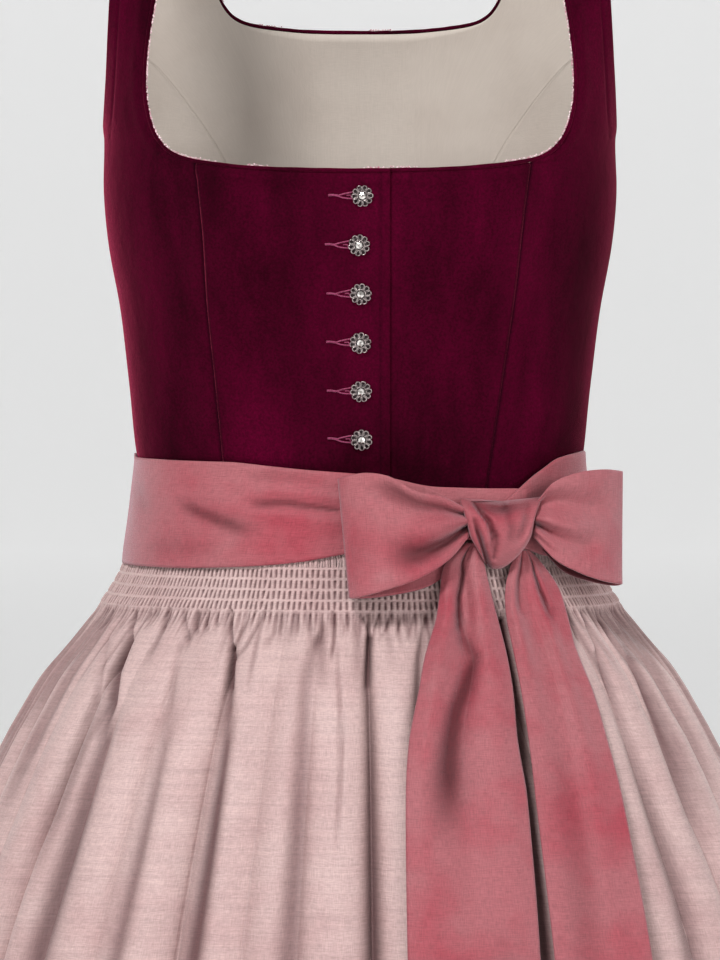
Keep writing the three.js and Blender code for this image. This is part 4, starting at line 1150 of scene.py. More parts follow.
# Creases and folds that the smocking lets go: path of across and height, width, depth, ends
APRON_CREASES = [
    [[(-131, -89), (-134, -105), (-141, -122), (-147, -160)], (1.0, 4.0), 4.6, (0.6, 0.3)],
    [[(-134, -105), (-141, -122), (-147, -160), (-188, -290), (-221, -450)], (3.0, 11), 5.5, (0.5, 0)],
    [[(-141, -85), (-147, -94), (-155, -102)], (0.7, 1.0), 2.6, (0.5, 0)],
    [[(-102, -87), (-100, -98), (-98, -108)], (0.8, 1.3), 2.6, (0.6, 0)],
    [[(-93, -87), (-95, -96), (-91, -102)], (0.8, 1.0), 2.0, (0.6, 0)],
    [[(-74, -86), (-74, -98), (-73, -113), (-74, -129)], (0.8, 1.6), 4.6, (0.6, 0.6)],
    [[(-73, -108), (-74, -129), (-76, -157), (-97, -290), (-114, -450)], (2.0, 9), 6.5, (0.7, 0)],
    [[(-64, -90), (-69, -102), (-73, -109)], (0.7, 1.0), 2.8, (0.5, 0.6)],
    [[(-55, -87), (-64, -104), (-73, -115)], (0.8, 1.2), 3.0, (0.5, 0.6)],
    [[(-48, -89), (-49, -98), (-56, -107)], (1.0, 1.8), 2.2, (0.6, 0)],
    [[(-23, -88), (-22, -96), (-25, -106)], (0.9, 2.0), 3.0, (0.6, 0.6)],
    [[(-25, -102), (-31, -124), (-32, -156), (-41, -290), (-48, -450)], (3.4, 10), 4.4, (0.6, 0)],
    [[(-14, -88), (-15, -103), (-17, -115)], (0.8, 1.2), 3.4, (0.6, 0)],
    [[(-13, -104), (-12, -129), (-10, -156), (-14, -230)], (0.9, 2.0), 2.2, (0.5, 0)],
    [[(-103, -105), (-106, -120), (-111, -158), (-142, -290), (-166, -450)], (1.8, 8), 4.0, (0.4, 0)],
    [[(-121, -86), (-122, -94), (-124, -99)], (0.6, 1.0), 2.0, (0.6, 0)],
    [[(-116, -85), (-119, -92), (-121, -97)], (0.6, 0.9), 2.0, (0.6, 0)],
    [[(-45, -87), (-46, -97), (-45, -104)], (0.9, 1.1), 2.2, (0.6, 0)],
    [[(-83, -86), (-82, -94), (-84, -99)], (0.8, 1.1), 2.0, (0.6, 0)],
    [[(-88, -86), (-89, -94), (-85, -101)], (0.8, 1.0), 2.0, (0.6, 0)],
    [[(-110, -86), (-113, -94), (-113, -101)], (0.8, 1.0), 2.2, (0.6, 0)],
    [[(-146, -106), (-150, -122), (-154, -150), (-190, -240)], (1.4, 6), 3.2, (0.4, 0)],
    [[(-36, -87), (-35, -95), (-37, -100)], (0.7, 1.0), 1.8, (0.6, 0)],
    [[(5, -88), (5, -106), (4, -127)], (0.8, 1.8), 4.4, (0.6, 0.6)],
    [[(5, -102), (4, -127), (6, -156), (8, -290), (10, -450), (11, -640)], (2.2, 10), 6.0, (0.7, 0)],
    [[(0, -87), (4, -95), (5, -100)], (0.7, 1.0), 2.4, (0.6, 0.5)],
    [[(11, -87), (8, -96), (6, -104)], (0.7, 1.0), 2.4, (0.6, 0.5)],
    [[(17, -87), (15, -96), (10, -102)], (0.8, 1.0), 2.2, (0.6, 0)],
    [[(-10, -87), (-9, -95), (-9, -100)], (0.7, 0.9), 1.8, (0.6, 0)],
    [[(-6, -87), (-7, -94), (-6, -99)], (0.7, 0.9), 1.8, (0.6, 0)],
    [[(23, -87), (22, -96), (20, -101)], (0.8, 1.0), 2.0, (0.6, 0)],
    [[(31, -87), (29, -96), (27, -103)], (0.8, 1.2), 2.2, (0.6, 0)],
    [[(38, -90), (34, -112), (33, -156), (40, -290), (47, -450)], (1.6, 9), 4.6, (0.5, 0)],
    [[(82, -94), (85, -111), (92, -160), (104, -260), (114, -420)], (2.4, 8), 9, (0.8, 0)],
    [[(120, -87), (123, -98), (127, -108)], (0.8, 1.2), 2.4, (0.6, 0)],
    [[(129, -87), (132, -98), (137, -108), (150, -150)], (0.8, 2.2), 2.8, (0.6, 0)],
    [[(137, -88), (144, -101), (151, -111)], (0.7, 1.2), 2.6, (0.6, 0)],
    [[(146, -87), (152, -97), (157, -103)], (0.7, 1.0), 2.4, (0.6, 0)],
    [[(66, -96), (64, -130), (70, -180), (84, -300)], (1.6, 8), 3.6, (0.4, 0)],
    [[(136, -112), (150, -150), (184, -250), (215, -400)], (1.8, 9), 4.2, (0.4, 0)],
    [[(156, -110), (172, -150), (205, -240)], (1.4, 6), 3.4, (0.4, 0)],
]


# Rows of points lie close down to this height, and further apart below it
CLOSE_DOWN_TO = -140


def wall_heights(top, bottom, fine, coarse):
    close = np.linspace(top, CLOSE_DOWN_TO, fine)
    return np.concatenate([close, np.linspace(CLOSE_DOWN_TO, bottom, coarse)[1:]])


# Gathers: start and end angle, count, top, lengths, widths, depths
SKIRT_GATHERS = (100, 260, 46, -64, (30, 120), (0.5, 1.1), (1.2, 3.2))

# The skirt is pressed in under the apron: how far, the depths below the waist over which that
# begins and ends, and the angles over which it ends at the sides
PRESSED = {"depth": 9, "begins": (70, 105), "ends": (540, 655), "sides": (94, 101)}
HALVES = [
    ("front", -SIDE_ANGLE + HALF_GAP, SIDE_ANGLE - HALF_GAP),
    ("back", SIDE_ANGLE + HALF_GAP, 360 - SIDE_ANGLE - HALF_GAP),
]


def add_skirt():
    pieces = {}
    valley_rows = {"front": [*FRONT_VALLEYS, BACK_VALLEYS[0]], "back": BACK_VALLEYS}
    gathers = uneven_valleys(*SKIRT_GATHERS)
    for name, start, end in HALVES:
        valleys = table(VALLEY, valley_rows[name])
        heights = wall_heights(SKIRT_TOP, SKIRT_HEM, 34, 34)
        angles = np.linspace(start, end, 320)
        angle, height = np.meshgrid(angles, heights)
        ended = smoothstep(-height, *PRESSED["ends"])
        hidden = -PRESSED["depth"] * smoothstep(-height, *PRESSED["begins"]) * (1 - ended)
        under_apron = 1 - smoothstep(np.abs((angle + 180) % 360 - 180), *PRESSED["sides"])
        move = hidden * under_apron
        if name == "back":
            move = move + valley_cuts(angle, height, gathers)
        outer = skirt_point(angle, height, move, valleys)
        inner = skirt_point(angle, height, move - SKIRT_CLOTH, valleys)
        draw_in_hem(outer, height, HEM_STITCHES["skirt"])
        pieces[name] = cloth_piece(f"skirt_{name}", "cloth", outer, inner, "skirt_cloth")
    return pieces


APRON = {
    "top": -44, "smock_top": -49.3, "gap": 0.7, "cloth": 1.3,
    "ribs": 160, "rib_rise": 2.2, "rib_base": -0.7,
}
SMOCK_ROWS = 6
SMOCK_PITCH = 6.1
SAMPLES_PER_RIB = 6
LAST_ROW = APRON["smock_top"] - SMOCK_ROWS * SMOCK_PITCH
INNER_STEP = 4

# Gathers under the smocking: start and end angle, count, top, lengths, widths, depths
APRON_GATHERS = [
    (-98, 98, 110, LAST_ROW + 1, (8, 22), (0.25, 0.45), (0.8, 1.6)),
    (-97, 97, 34, LAST_ROW, (20, 55), (0.35, 0.7), (0.8, 1.8)),
    (62, 97, 16, LAST_ROW, (30, 150), (0.5, 1.1), (2, 3.4)),
    (-97, -66, 14, LAST_ROW, (30, 150), (0.5, 1.1), (2, 3.4)),
]

# The cloth swells out under the smocking: how far, and the depths below the waist over which
# that begins and ends
PUFFS = {"rise": 2.0, "begins": (86, 100), "ends": (112, 230)}

# Depths below the waist over which the sewn ribs begin, and how much painted shade each kind of hollow gets
SEWN = (46, 50)
PAINTED_SHADE_STRENGTH = {"ribs": 0.85, "gathers": 0.45, "creases": 0.85}

# Ribs: how uneven and how leaning they are, and, as shares of a row, where one lies flat near its
# stitches, how it fades below the last row, and how wide and high the stitched lines are
RIB = {
    "uneven": (0.75, 1.15), "lean": (-0.25, 0.25), "flat": (0.3, 0.46), "above": 0.5, "fade": 0.9,
    "stitched": (0.05, 0.16), "last_stitched": 0.12, "stitch_rise": 0.9, "groove": (0.1, 0.95),
}

# Width over which the weave is laid out, in millimetres; it sets how fine the threads look
APRON_WEAVE_WIDTH = 1400


def apron_ribs(angle, height):
    """Round ribs between the rows of stitches, each rib a little uneven, fading out below: how
    far they rise, and how deep each point lies between them"""
    count = APRON["ribs"]
    share = (angle + APRON_EDGE) / (2 * APRON_EDGE) * count
    number = np.clip(np.floor(share).astype(int), 0, count - 1)
    uneven = random.uniform(*RIB["uneven"], count)
    lean = random.uniform(*RIB["lean"], count)
    below = (APRON["smock_top"] - height) / SMOCK_PITCH
    band = below - np.floor(below)
    last = below >= SMOCK_ROWS
    held = np.where(last, 0, 1 - smoothstep(np.abs(band - 0.5), *RIB["flat"]))
    first = below < 0
    ribbed = np.where(first, RIB["above"], held)
    past = smoothstep(below, SMOCK_ROWS, SMOCK_ROWS + 0.3)
    fading = np.exp(-np.maximum(below - SMOCK_ROWS, 0) / RIB["fade"]) * past
    ribbed = np.where(last, fading, ribbed)
    phase = share - number + lean[number] * (band - 0.5) * held
    ridge = np.sqrt(np.abs(np.sin(np.pi * np.clip(phase, 0, 1))))
    from_line = np.minimum(band, 1 - band)
    stitched = np.where(last | first, 0, 1 - smoothstep(from_line, *RIB["stitched"]))
    on_last_line = np.abs(below - SMOCK_ROWS) < RIB["last_stitched"]
    stitched = np.maximum(stitched, np.where(on_last_line, 1, 0))
    rise = (APRON["rib_base"] + APRON["rib_rise"] * ridge * uneven[number]) * ribbed
    rise = rise + RIB["stitch_rise"] * stitched
    return rise, (1 - smoothstep(ridge ** 2, *RIB["groove"])) * ribbed


def add_apron():
    before_front = [BACK_VALLEYS[-2][0] - 360, BACK_VALLEYS[-2][1]]
    valleys = table(VALLEY, [before_front, *FRONT_VALLEYS, *BACK_VALLEYS[:2]])
    columns = APRON["ribs"] * SAMPLES_PER_RIB + 1
    in_row = np.array([0, 0.07, 0.18, 0.34, 0.66, 0.82, 0.93])
    bands = np.concatenate([row + in_row for row in range(SMOCK_ROWS)])
    heights = np.concatenate([
        np.linspace(APRON["top"], -61, 3), APRON["smock_top"] - bands * SMOCK_PITCH,
        wall_heights(LAST_ROW, APRON_HEM, 26, 25),
    ])
    heights = heights[:len(heights) - (len(heights) - 1) % INNER_STEP]
    heights[-1] = APRON_HEM
    angle, height = np.meshgrid(np.linspace(-APRON_EDGE, APRON_EDGE, columns), heights)
    rows = [row for kind in APRON_GATHERS for row in uneven_valleys(*kind)]
    gathers = valley_cuts(angle, height, rows)
    base = skirt_point(angle, height, 0, valleys)
    pressed = np.where(base[..., 1] < 0, creases(base[..., 0], height, APRON_CREASES), 0)
    swelling = smoothstep(-height, *PUFFS["begins"])
    puffs = PUFFS["rise"] * swelling * (1 - smoothstep(-height, *PUFFS["ends"]))
    puffs = puffs * (0.4 + 0.6 * np.sin(np.radians(angle * 9.3 + 40 * np.sin(np.radians(angle * 3)))) ** 2)
    move = gathers - pressed + puffs
    sewn = smoothstep(-height, *SEWN)
    ribs, grooves = apron_ribs(angle, height)
    outside = APRON["gap"] + APRON["cloth"]
    outer = skirt_point(angle, height, outside + move + sewn * ribs, valleys)
    in_gathers = np.clip(-gathers / 1.5, 0, 1)
    in_creases = np.clip(pressed / 6, 0, 1)
    # Painted shade between the ribs, in the gathers and in the creases
    hollow = PAINTED_SHADE_STRENGTH["ribs"] * sewn * grooves + PAINTED_SHADE_STRENGTH["gathers"] * in_gathers
    hollow = hollow + PAINTED_SHADE_STRENGTH["creases"] * in_creases
    draw_in_hem(outer, height, HEM_STITCHES["apron"])
    coarse = (slice(None, None, INNER_STEP), slice(None, None, INNER_STEP))

    # The coarse inside keeps to the lowest of the outside near it, so it never pokes through
    lowest = move
    for shift in (-3, -2, -1, 1, 2, 3):
        lowest = np.minimum(lowest, np.roll(move, shift, axis=1))
    nearby_rows = np.minimum(np.roll(lowest, 2, axis=0), np.roll(lowest, -2, axis=0))
    lowest = np.minimum(lowest, nearby_rows)
    inner = skirt_point(angle[coarse], height[coarse], APRON["gap"] + lowest[coarse], valleys)
    cloth = np.stack([angle / (2 * APRON_EDGE) * APRON_WEAVE_WIDTH, height], axis=-1)
    return cloth_piece("apron", "cloth", outer, inner, "apron_cloth", cloth=cloth,
                       stride=(INNER_STEP, INNER_STEP), hollow=hollow)


# Waistband and ties

def sash_point(angle, height):
    x, y = ring(section_at(SASH, height), angle)
    return stack(x, y, height)


WAISTBAND = {"outside": -1.6, "thickness": 1.2, "bottom": -43.7, "end": 108}
WAISTBAND_EDGE = table(["turn", "top"], [[0, -17.5], [40, -17.5], [70, -14], [108, -8]])


def add_waistband():
    angles = np.linspace(-WAISTBAND["end"], WAISTBAND["end"], 220)
    top = along(WAISTBAND_EDGE, "top", np.abs(angles))
    share = np.linspace(0, 1, 14)
    height = top[None] + (WAISTBAND["bottom"] - top)[None] * share[:, None]
    angle = angles[None] + 0 * height
    ripple = 0.1 * np.sin(angle / 4.1) * np.sin(np.pi * share)[:, None]
    outer, inner = wall(sash_point, angle, height, WAISTBAND["outside"] + ripple, WAISTBAND["thickness"])
    return cloth_piece("apron_waistband", "cloth", outer, inner, "tie_cloth")


STRIP = ["turn", "top", "bottom", "layer"]
TIE_FRONT = {
    "right": [
        [-41.5, -15.8, -43.8, 0], [-36, -15.6, -43.9, 0], [-30, -15.4, -44, 0], [-22, -14.8, -45.5, 0],
        [-14, -13.6, -47, 0], [-4, -8, -50, 0], [3, -6, -53.4, 0],
        [11, -4.4, -57.4, 0], [20, -2.4, -59.8, 0], [30, -0.3, -61.2, 0], [39, 0.1, -62, 0],
        [47, 0.3, -62.4, 0],
        [55, 0.5, -62.4, 0], [63, 0.8, -62.4, 0], [70, 0.8, -62.4, 0], [77, 1, -62.4, 0], [83, 1, -62.4, 0],
    ],
    "left": [
        [31, -29, -45, 1.1], [36, -22.5, -49, 1.1], [40, -16.5, -51, 1.1], [43.5, -11.8, -53, 0.9],
        [47, -8, -55, 0], [51, -4.3, -56, 0],
        [57, 0.6, -58, 0], [63, 2.6, -59, 0], [70, 3.9, -59.5, 0], [77, 4.6, -60, 0], [83, 4.7, -60, 0],
    ],
}
TIE_BACK = [
    [90, 3, -61, 0.5], [97, 2.4, -61, 1.2], [105, 2, -60, 1.6], [115, 2, -60, 1.6], [125, 2, -60, 1.6],
    [135, -2, -61, 1.6], [145, -14, -62, 1.6], [156, -33, -64, 1.6], [168, -33, -64, 0], [180, -15, -47, 0],
    [192, -1, -31, 0], [204, -1, -31, 0], [215, -1, -50, 0], [225, 1, -58, 0], [235, 2, -60, 0],
    [245, 2, -60, 0], [255, 2, -60, 0],
]

# Where the left tie lies over the right one behind: the turns over which it rises and falls
CROSSING = {"rises": (156, 162), "falls": (198, 204), "layer": 1.6}

# Creases of the ties: path of turn in degrees and height, width, depth, ends
TIE_CREASES = {
    "right": [
        [[(29, -24.5), (16, -23.2), (4, -27.6)], (5, 1.2), 2.2, (0, 1)],
        [[(30, -20.2), (16, -18), (3, -21)], (4, 3), -1.2, (0, 1)],
        [[(29, -30), (17, -30.5), (4, -36)], (4, 4), -1.2, (0, 1)],
        [[(52, -22), (38, -31), (27, -38.5), (20, -42)], (3.4, 4.6), 2.2, (0, 0)],
        [[(44, -16), (33, -24), (22, -31)], (6, 5), -1.2, (0, 0)],
        [[(66, -52), (48, -50), (30, -53)], (6, 5), 0.6, (0, 0)],
        [[(28, -10), (18, -8), (8, -12)], (4, 4), 0.7, (0, 0.5)],
        [[(84, -14), (72, -20), (60, -34)], (6, 7), 0.6, (0, 0)],
        [[(118, -12), (100, -24), (92, -42)], (5, 7), 0.9, (0, 0)],
        [[(150, -30), (134, -34), (116, -24)], (4, 6), 1.1, (0.5, 0)],
        [[(152, -46), (136, -48), (120, -52)], (4, 5), 0.8, (0.5, 0)],
        [[(232, -24), (214, -26), (200, -16)], (4, 4), 0.9, (0, 0.5)],
    ],
    "left": [
        [[(34, -32), (44, -24), (56, -16)], (2.5, 5), 1.3, (1, 0)],
        [[(38, -44), (50, -40), (66, -36)], (3, 6), 1.0, (1, 0)],
        [[(60, -50), (76, -46), (90, -50)], (5, 5), 0.6, (0, 0)],
        [[(72, -12), (84, -22), (98, -20)], (5, 6), 0.7, (0, 0)],
        [[(112, -16), (126, -26), (142, -30)], (5, 5), 1.0, (0, 0.5)],
        [[(118, -46), (134, -46), (150, -42)], (4, 4), 0.8, (0, 0.5)],
        [[(206, -18), (222, -28), (240, -26)], (4, 5), 0.9, (0.5, 0)],
    ],
}
TIE_THICKNESS = 1.0


def in_millimetres(rows):
    """Creases whose paths are in degrees, given in millimetres round the waist"""
    return [
        [[(turn * MILLIMETRES_PER_DEGREE, height) for turn, height in path], *rest] for path, *rest in rows
    ]


def add_ties():
    pieces = {}
    share = np.linspace(0, 1, 30)
    for side, sign in (("right", -1), ("left", 1)):
        rows = table(STRIP, TIE_FRONT[side] + TIE_BACK)
        turns = np.linspace(rows["turn"][0], rows["turn"][-1], 300)
        top = along(rows, "top", turns)
        bottom = along(rows, "bottom", turns)
        layer = along(rows, "layer", turns, smooth=False)
        if side == "left":
            crossing = smoothstep(turns, *CROSSING["rises"]) * (1 - smoothstep(turns, *CROSSING["falls"]))
            layer = layer + (CROSSING["layer"] - layer) * crossing
        height = top[None] + (bottom - top)[None] * share[:, None]
        turn = turns[None] + 0 * height
        held = np.sin(np.pi * share)[:, None] ** 0.5
        press = creases(turn * MILLIMETRES_PER_DEGREE, height, in_millimetres(TIE_CREASES[side]))
        wander = 0.25 * np.sin(turn / 6.5 + height / 19) * np.sin(height / 11 + turn / 23)
        relief = np.maximum((0.35 - press + wander) * (0.35 + 0.65 * held), -0.4)
        outer, inner = wall(sash_point, sign * turn, height, layer[None] + relief, TIE_THICKNESS)
        # Painted shade in the creases
        hollow = 0.7 * np.clip(press / 2, 0, 1)
        pieces[side] = cloth_piece(f"tie_{side}", "cloth", outer, inner, "tie_cloth", hollow=hollow)
    return pieces


# Bow: distance from the middle plane, height, and distance out of the envelope

BOW_TURN = 96


def bow_point(across, height, out):
    across, height, out = np.broadcast_arrays(*(np.asarray(v, float) for v in (across, height, out)))
    section = section_at(ENVELOPE, height)
    anchor = np.minimum(across, BOW_TURN)
    normal = ring_normal(section, angle_across(section, anchor))
    for _ in range(4):
        anchor = np.minimum(across - normal[0] * out, BOW_TURN)
        normal = ring_normal(section, angle_across(section, anchor))
    x, y = ring(section, angle_across(section, anchor))
    tangent = (-normal[1], normal[0])
    onwards = (across - normal[0] * out - x) / tangent[0]
    x = x + tangent[0] * onwards + normal[0] * out
    y = y + tangent[1] * onwards + normal[1] * out
    return stack(x, y, height)


LOOP = ["station", "top_across", "top_height", "bottom_across", "bottom_height", "out"]
LOOPS = {
    "right": table(LOOP, [
        [0, 62, -27, 63, -43, 9.5], [1, 48, -19.6, 51, -56, 18], [2, 32, -15.8, 34, -66, 23],
        [3, 17, -7.5, 14, -72.8, 24], [4, 3, -5.5, 2, -76, 21], [5, -9, -8, -3.5, -77.6, 15],
        [6, -12.5, -9.5, -6, -77.8, 9], [7, -8, -10, -2, -78.3, 4], [8, 10, -9, 12, -77.5, 1.6],
        [9, 33, -13, 36, -73, 1.1], [10, 48, -19, 50, -65, 1], [11, 61, -28, 60, -52, 1],
    ]),
    "left": table(LOOP, [
        [0, 103.5, -23, 101.5, -44, 10], [1, 113, -12, 114, -57, 18], [2, 127, -6.5, 128, -64.5, 21],
        [3, 142, -5, 141, -69.5, 18], [4, 152, -6, 151, -72, 12], [5, 155, -7, 154, -72.5, 7],
        [6, 150, -8, 149, -73.5, 2.6], [7, 137, -8, 136, -71, 1.2], [8, 122, -10, 120, -65, 1],
        [9, 109, -20, 107, -52, 1],
    ]),
}

# Creases of the loops: station and share of the width (times ten), width, depth, ends
LOOP_CREASES = {
    "right": [
        [[(0, 6.0), (0.8, 6.9), (1.8, 7.3), (3.2, 7.5)], (0.6, 2.0), 6.5, (1, 0)],
        [[(0, 2.4), (1.6, 1.7), (3.2, 1.1), (4.2, 0.9)], (0.7, 0.9), 4.6, (1, 0)],
        [[(0, 4.2), (1.4, 4.2), (3, 4.0)], (1.0, 1.8), -3.0, (1, 0)],
        [[(0.6, 8.9), (2, 9.1), (3.4, 9.3)], (0.6, 0.9), -1.6, (0.4, 0)],
        [[(1.4, 0.4), (3, 0.3), (4.4, 0.5)], (0.5, 0.7), -1.2, (0, 0)],
        [[(1.2, 9.2), (2.6, 9.4), (4, 9.3)], (0.5, 0.8), -1.2, (0, 0)],
        [[(3.4, 5.4), (4.6, 6.2), (5.6, 7.4)], (1.2, 1.4), 0.9, (0, 0)],
        [[(8.4, 3), (9.6, 3.4), (11, 4)], (0.9, 0.7), 1.4, (0, 1)],
    ],
    "left": [
        [[(0.2, 1.2), (0.9, 2.2), (1.6, 3.0), (2.6, 3.7), (3.8, 4.1)], (0.6, 1.8), 6.0, (0.8, 0)],
        [[(0, 6.2), (0.8, 6.8), (1.9, 7.3), (3.0, 7.8)], (0.7, 1.5), 6.2, (1, 0)],
        [[(0.1, 4.6), (1.2, 5.2), (2.8, 5.8)], (0.8, 1.2), -2.6, (0.8, 0)],
        [[(0, 7.4), (1.2, 7.6), (2.6, 8.0)], (0.9, 1.2), -2.4, (1, 0)],
        [[(0, 9.0), (1.4, 9.2), (2.8, 9.4)], (0.6, 0.9), 1.2, (1, 0)],
        [[(3, 3.4), (4, 3.8), (5, 3.6)], (1.0, 1.2), 0.8, (0, 0)],
        [[(6.4, 3), (7.6, 3.4), (9, 4)], (0.9, 0.7), 1.4, (0, 1)],
    ],
}


# The station up to which a loop's front layer goes, the stations over which its hidden back layer
# gets painted shade, how far the front layer swells, and the least distance of a bow's cloth out
LOOP_FOLD = 5
LOOP_BACK_SHADE = (5.2, 6.4)
LOOP_CROWN = 1.2
BOW_LEAST = 0.8

# Share of the width in a loop's and a tail's creases counts up to these
LOOP_WIDTH_UNITS = 10
TAIL_WIDTH_UNITS = 60


def between_edges(rows, kind, stations, share):
    """Places across a strip between its top and bottom edges"""
    top = along(rows, f"top_{kind}", stations)[:, None]
    bottom = along(rows, f"bottom_{kind}", stations)[:, None]
    return top * (1 - share) + bottom * share


def add_loops():
    pieces = {}
    for side in ("right", "left"):
        rows = LOOPS[side]
        stations = np.linspace(0, rows["station"][-1], 150)
        share = np.linspace(0, 1, 46)
        station = stations[:, None] + 0 * share[None]
        across = between_edges(rows, "across", stations, share)
        height = between_edges(rows, "height", stations, share)
        out = along(rows, "out", stations)[:, None] + 0 * share[None]
        press = creases(station, share[None] * LOOP_WIDTH_UNITS + 0 * station, LOOP_CREASES[side])
        along_front = np.sin(np.pi * np.clip(station / LOOP_FOLD, 0, 1))
        crown = LOOP_CROWN * np.sin(np.pi * share)[None] * along_front
        out = out + np.where(station < LOOP_FOLD, crown - press, -0.25 * press)
        grid = bow_point(across, height, np.maximum(out, BOW_LEAST))
        outer, inner = both_sides(grid, TIE_THICKNESS)
        # Painted shade in the creases and over the hidden back layer
        in_creases = 0.8 * np.clip(press / 5.5, 0, 1) ** 1.2
        back_layer_painted_shade = 0.95 * smoothstep(station, *LOOP_BACK_SHADE)
        hollow = np.maximum(in_creases, back_layer_painted_shade)
        pieces[side] = cloth_piece(f"bow_loop_{side}", "cloth", outer, inner, "tie_cloth", hollow=hollow)
    return pieces


KNOT = table(["height", "start", "end", "out"], [
    [-62, 77, 82, 4], [-59.5, 73.5, 86.5, 9], [-52, 69, 94.5, 14], [-44, 64.5, 99.5, 17],
    [-36, 62, 101.5, 17],
    [-30, 60, 103.5, 15.5], [-26, 58.5, 105.5, 12.5], [-22.6, 58.5, 107, 8],
])
KNOT_BACK = 1.4
KNOT_SQUARENESS = 0.8
KNOT_TOP = {"from": -44, "dip": 2.6, "corners": 4.6}

# Creases of the knot: path of across and height, width, depth, ends, lean
KNOT_CREASES = [
    [[(66, -24), (69.5, -29), (74, -34.6), (76.9, -42.6), (75.8, -49)], (1.6, 1.6), 5.0, (0.5, 0.2), 0.55],
    [[(66, -34), (67.6, -40), (70.1, -47.1), (74, -60)], (1.4, 1.6), 4.6, (0.5, 1), 0.5],
    [[(79.5, -38), (79, -46), (77.6, -55)], (1.2, 1.5), 2.4, (0.2, 0.8), 0.3],
    [[(84, -27), (88, -38), (86.5, -50)], (2.4, 3.0), 1.9, (0.6, 0), 0.4],
    [[(97, -26), (96, -36), (91, -47)], (2.2, 3.0), 1.6, (0.6, 0), 0.3],
    [[(70, -25), (80, -27.5), (93, -26)], (3.2, 3.4), 2.2, (0.4, 0.3), 0],
    [[(71, -37), (72.8, -43), (73.4, -50)], (1.6, 1.8), -1.6, (0.3, 0.3), 0],
    [[(104.5, -24), (102, -33), (98, -43), (91, -53)], (1.8, 2.0), -2.2, (0.9, 0.3), 0],
]


def add_knot():
    heights = np.linspace(KNOT["height"][-1], KNOT["height"][0], 60)
    turns = np.linspace(0, 2 * np.pi, 90, endpoint=False)
    start = along(KNOT, "start", heights)[:, None]
    end = along(KNOT, "end", heights)[:, None]
    out = along(KNOT, "out", heights)[:, None]
    cosine, sine = np.cos(turns)[None], np.sin(turns)[None]
    swing = np.sign(cosine) * np.abs(cosine) ** KNOT_SQUARENESS
    across = (start + end) / 2 + (end - start) / 2 * swing
    depth = (1 - np.sign(sine) * np.abs(sine) ** KNOT_SQUARENESS) / 2
    sideways = (2 * across - start - end) / (end - start)
    high = smoothstep(heights[:, None], KNOT_TOP["from"], heights[0])
    height = heights[:, None] + high * (KNOT_TOP["corners"] * sideways ** 2 - KNOT_TOP["dip"])
    facing = smoothstep(depth, 0.35, 0.8)
    press = creases(across, height, KNOT_CREASES) * facing
    level = KNOT_BACK + out * depth - press
    grid = bow_point(across, height, np.maximum(level, KNOT_BACK))
    rows, count = grid.shape[:2]
    tops = [grid[0].mean(axis=0)[None], grid[-1].mean(axis=0)[None]]
    points = np.concatenate([grid.reshape(-1, 3), *tops])
    faces = ring_faces(rows, count)
    last_ring = (rows - 1) * count
    for j in range(count):
        k = (j + 1) % count
        faces.append((rows * count, k, j))
        faces.append((rows * count + 1, last_ring + j, last_ring + k))
    places = cloth_places(grid).reshape(-1, 2)
    places = np.concatenate([places, [[0, 0], [0, 0]]])
    # Painted shade in the creases and over the knot's top
    shaded = np.clip(press / 3.6, 0, 1) + 0.35 * smoothstep(heights[:, None], -30, heights[0])
    hollow = np.concatenate([0.8 * shaded.ravel(), [0, 0]])
    faces = oriented(points, faces)
    knot = make_object("bow_knot_cloth", points, faces, places, ("tie_cloth",), hollow=hollow)
    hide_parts("bow_knot")
    return knot


TAIL = ["height", "start", "end", "out", "wave"]
TAILS = {
    "right": table(TAIL, [
        [-47, 62, 70, 2, 1], [-59, 49.5, 72, 2.5, 4], [-74, 46.5, 75.5, 2, 6], [-90, 44, 79.5, 1.5, 7],
        [-110, 37.5, 84.4, 1.5, 7], [-130, 33.5, 87.6, 1.5, 7], [-157, 28, 89.8, 1.5, 7],
        [-190, 26, 95, 1.5, 6],
        [-290, 27, 102, 1.5, 4], [-450, 30, 106, 1.5, 3], [-565, 33, 109, 1.5, 2],
    ]),
    "left": table(TAIL, [
        [-52, 92, 99, 2, 1], [-60, 88, 106.5, 2.5, 4], [-74, 84.6, 116, 2, 5], [-90, 85, 121, 1.5, 6],
        [-107, 88.3, 125, 1.5, 5], [-133, 93, 135, 1.5, 4], [-158, 96.5, 142, 1.5, 3],
        [-190, 100, 150, 1.5, 3],
        [-290, 111, 167, 1.5, 3], [-450, 125, 183, 1.5, 2.5], [-550, 132, 190, 1.5, 2],
    ]),
}
TAIL_WAVES = {"right": [0.5, 1, 0.55, 0, 0.6, 1, 0.5], "left": [0.4, 0.9, 0.35, 0.2, 1, 0.5, 0.3]}

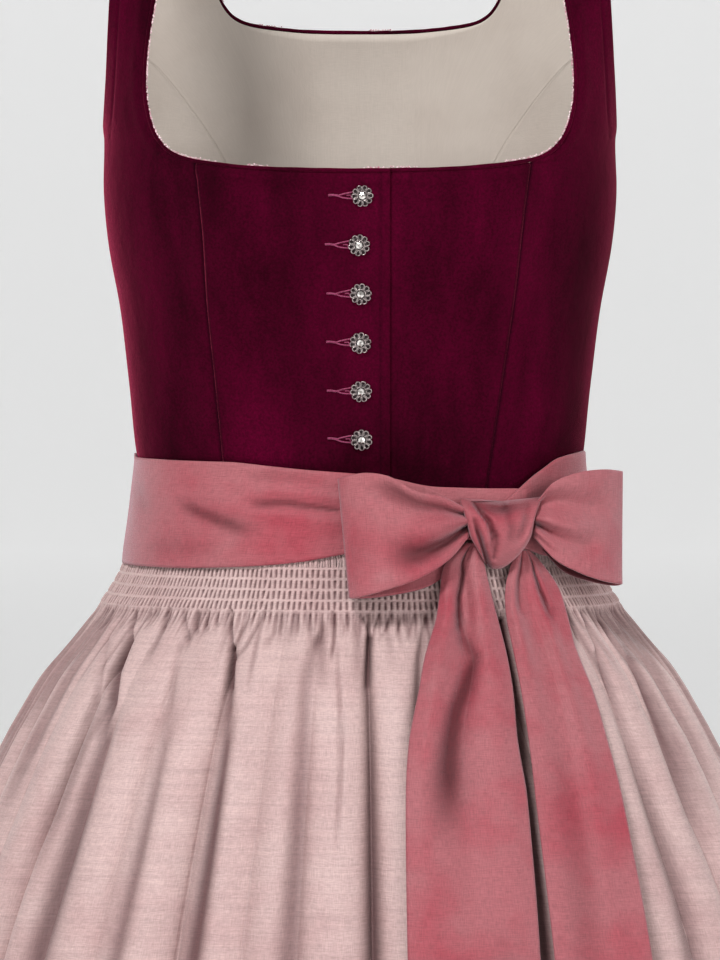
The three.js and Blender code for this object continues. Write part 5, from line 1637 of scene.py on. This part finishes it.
# Creases of the tails: share of the width (times sixty) and height, width, depth, ends
TAIL_CREASES = {
    "right": [
        [[(22, -50), (28, -64), (22, -78), (22, -94)], (2.6, 3.6), 6.5, (1, 0.4)],
        [[(22, -88), (27, -101), (37, -111), (31, -124), (25, -140), (22, -166), (20, -220)],
         (4, 9), 5.5, (0.5, 0)],
        [[(44, -56), (42, -90), (46, -130)], (8, 9), -2, (0.4, 0)],
        [[(10, -70), (10, -120), (12, -180)], (7, 8), -1.4, (0.2, 0)],
        [[(46, -240), (42, -340), (47, -450)], (9, 10), 1.6, (0, 0)],
        [[(16, -300), (20, -400), (15, -520)], (8, 10), 1.3, (0, 0)],
    ],
    "left": [
        [[(20, -55), (15, -67), (13, -80), (14, -94)], (2.8, 4.5), 4.2, (1, 0)],
        [[(44, -53), (38, -66), (38, -75), (42, -87), (48, -95)], (2.6, 4.5), 5.0, (1, 0)],
        [[(30, -54), (31, -78), (34, -104)], (4, 7), -1.8, (1, 0)],
        [[(12, -62), (10, -90), (12, -120)], (5, 7), -1.6, (0.4, 0)],
        [[(40, -120), (44, -160), (42, -220)], (8, 9), -1.6, (0, 0)],
        [[(22, -140), (24, -220), (20, -320)], (9, 10), 1.4, (0, 0)],
        [[(44, -300), (40, -400), (44, -500)], (9, 10), 1.4, (0, 0)],
    ],
}


# Depths below the waist over which a tail comes loose of the knot, how far it then lifts, and how
# its two edges turn in
TAIL_SLACK = {"begins": (52, 80), "lift": 1.5}
TAIL_EDGE = {"depth": 0.5, "steepness": 30}


def add_tails():
    pieces = {}
    for side in ("right", "left"):
        rows = TAILS[side]
        waves = TAIL_WAVES[side]
        crests = [[i / (len(waves) - 1), crest] for i, crest in enumerate(waves)]
        wave_rows = table(["share", "crest"], crests)
        bottom, top = rows["height"][0], rows["height"][-1]
        heights = top - (top - bottom) * np.linspace(0, 1, 190) ** 1.5
        share = np.linspace(0, 1, 50)
        start = along(rows, "start", heights)[:, None]
        end = along(rows, "end", heights)[:, None]
        crest = along(wave_rows, "crest", share)[None]
        wave = along(rows, "wave", heights)[:, None]
        height = heights[:, None] + 0 * share[None]
        press = creases(share[None] * TAIL_WIDTH_UNITS + 0 * height, height, TAIL_CREASES[side])
        slack = smoothstep(-height, *TAIL_SLACK["begins"])
        at_edges = np.exp(-share * TAIL_EDGE["steepness"]) + np.exp(-(1 - share) * TAIL_EDGE["steepness"])
        edges = TAIL_EDGE["depth"] * at_edges[None] * slack
        lifted = TAIL_SLACK["lift"] * slack
        pressed = press * (0.4 + 0.6 * slack)
        out = along(rows, "out", heights)[:, None] + lifted + crest * wave - pressed - edges
        grid = bow_point(start + (end - start) * share[None], height, np.maximum(out, BOW_LEAST))
        outer, inner = both_sides(grid, TIE_THICKNESS)
        # Painted shade in the creases
        hollow = 0.9 * np.clip(press / 5, 0, 1)
        pieces[side] = cloth_piece(f"bow_tail_{side}", "cloth", outer, inner, "tie_cloth", hollow=hollow)
    return pieces


# Build

front_right, front_left = add_fronts()
side_fronts = add_side_fronts()
side_backs = add_side_backs()
back_centre, back_lining = add_back_centre()
binding_right, binding_left, binding_back = add_bindings()
add_buttons()
skirt = add_skirt()
apron = add_apron()
waistband = add_waistband()
ties = add_ties()
loops = add_loops()
knot = add_knot()
tails = add_tails()
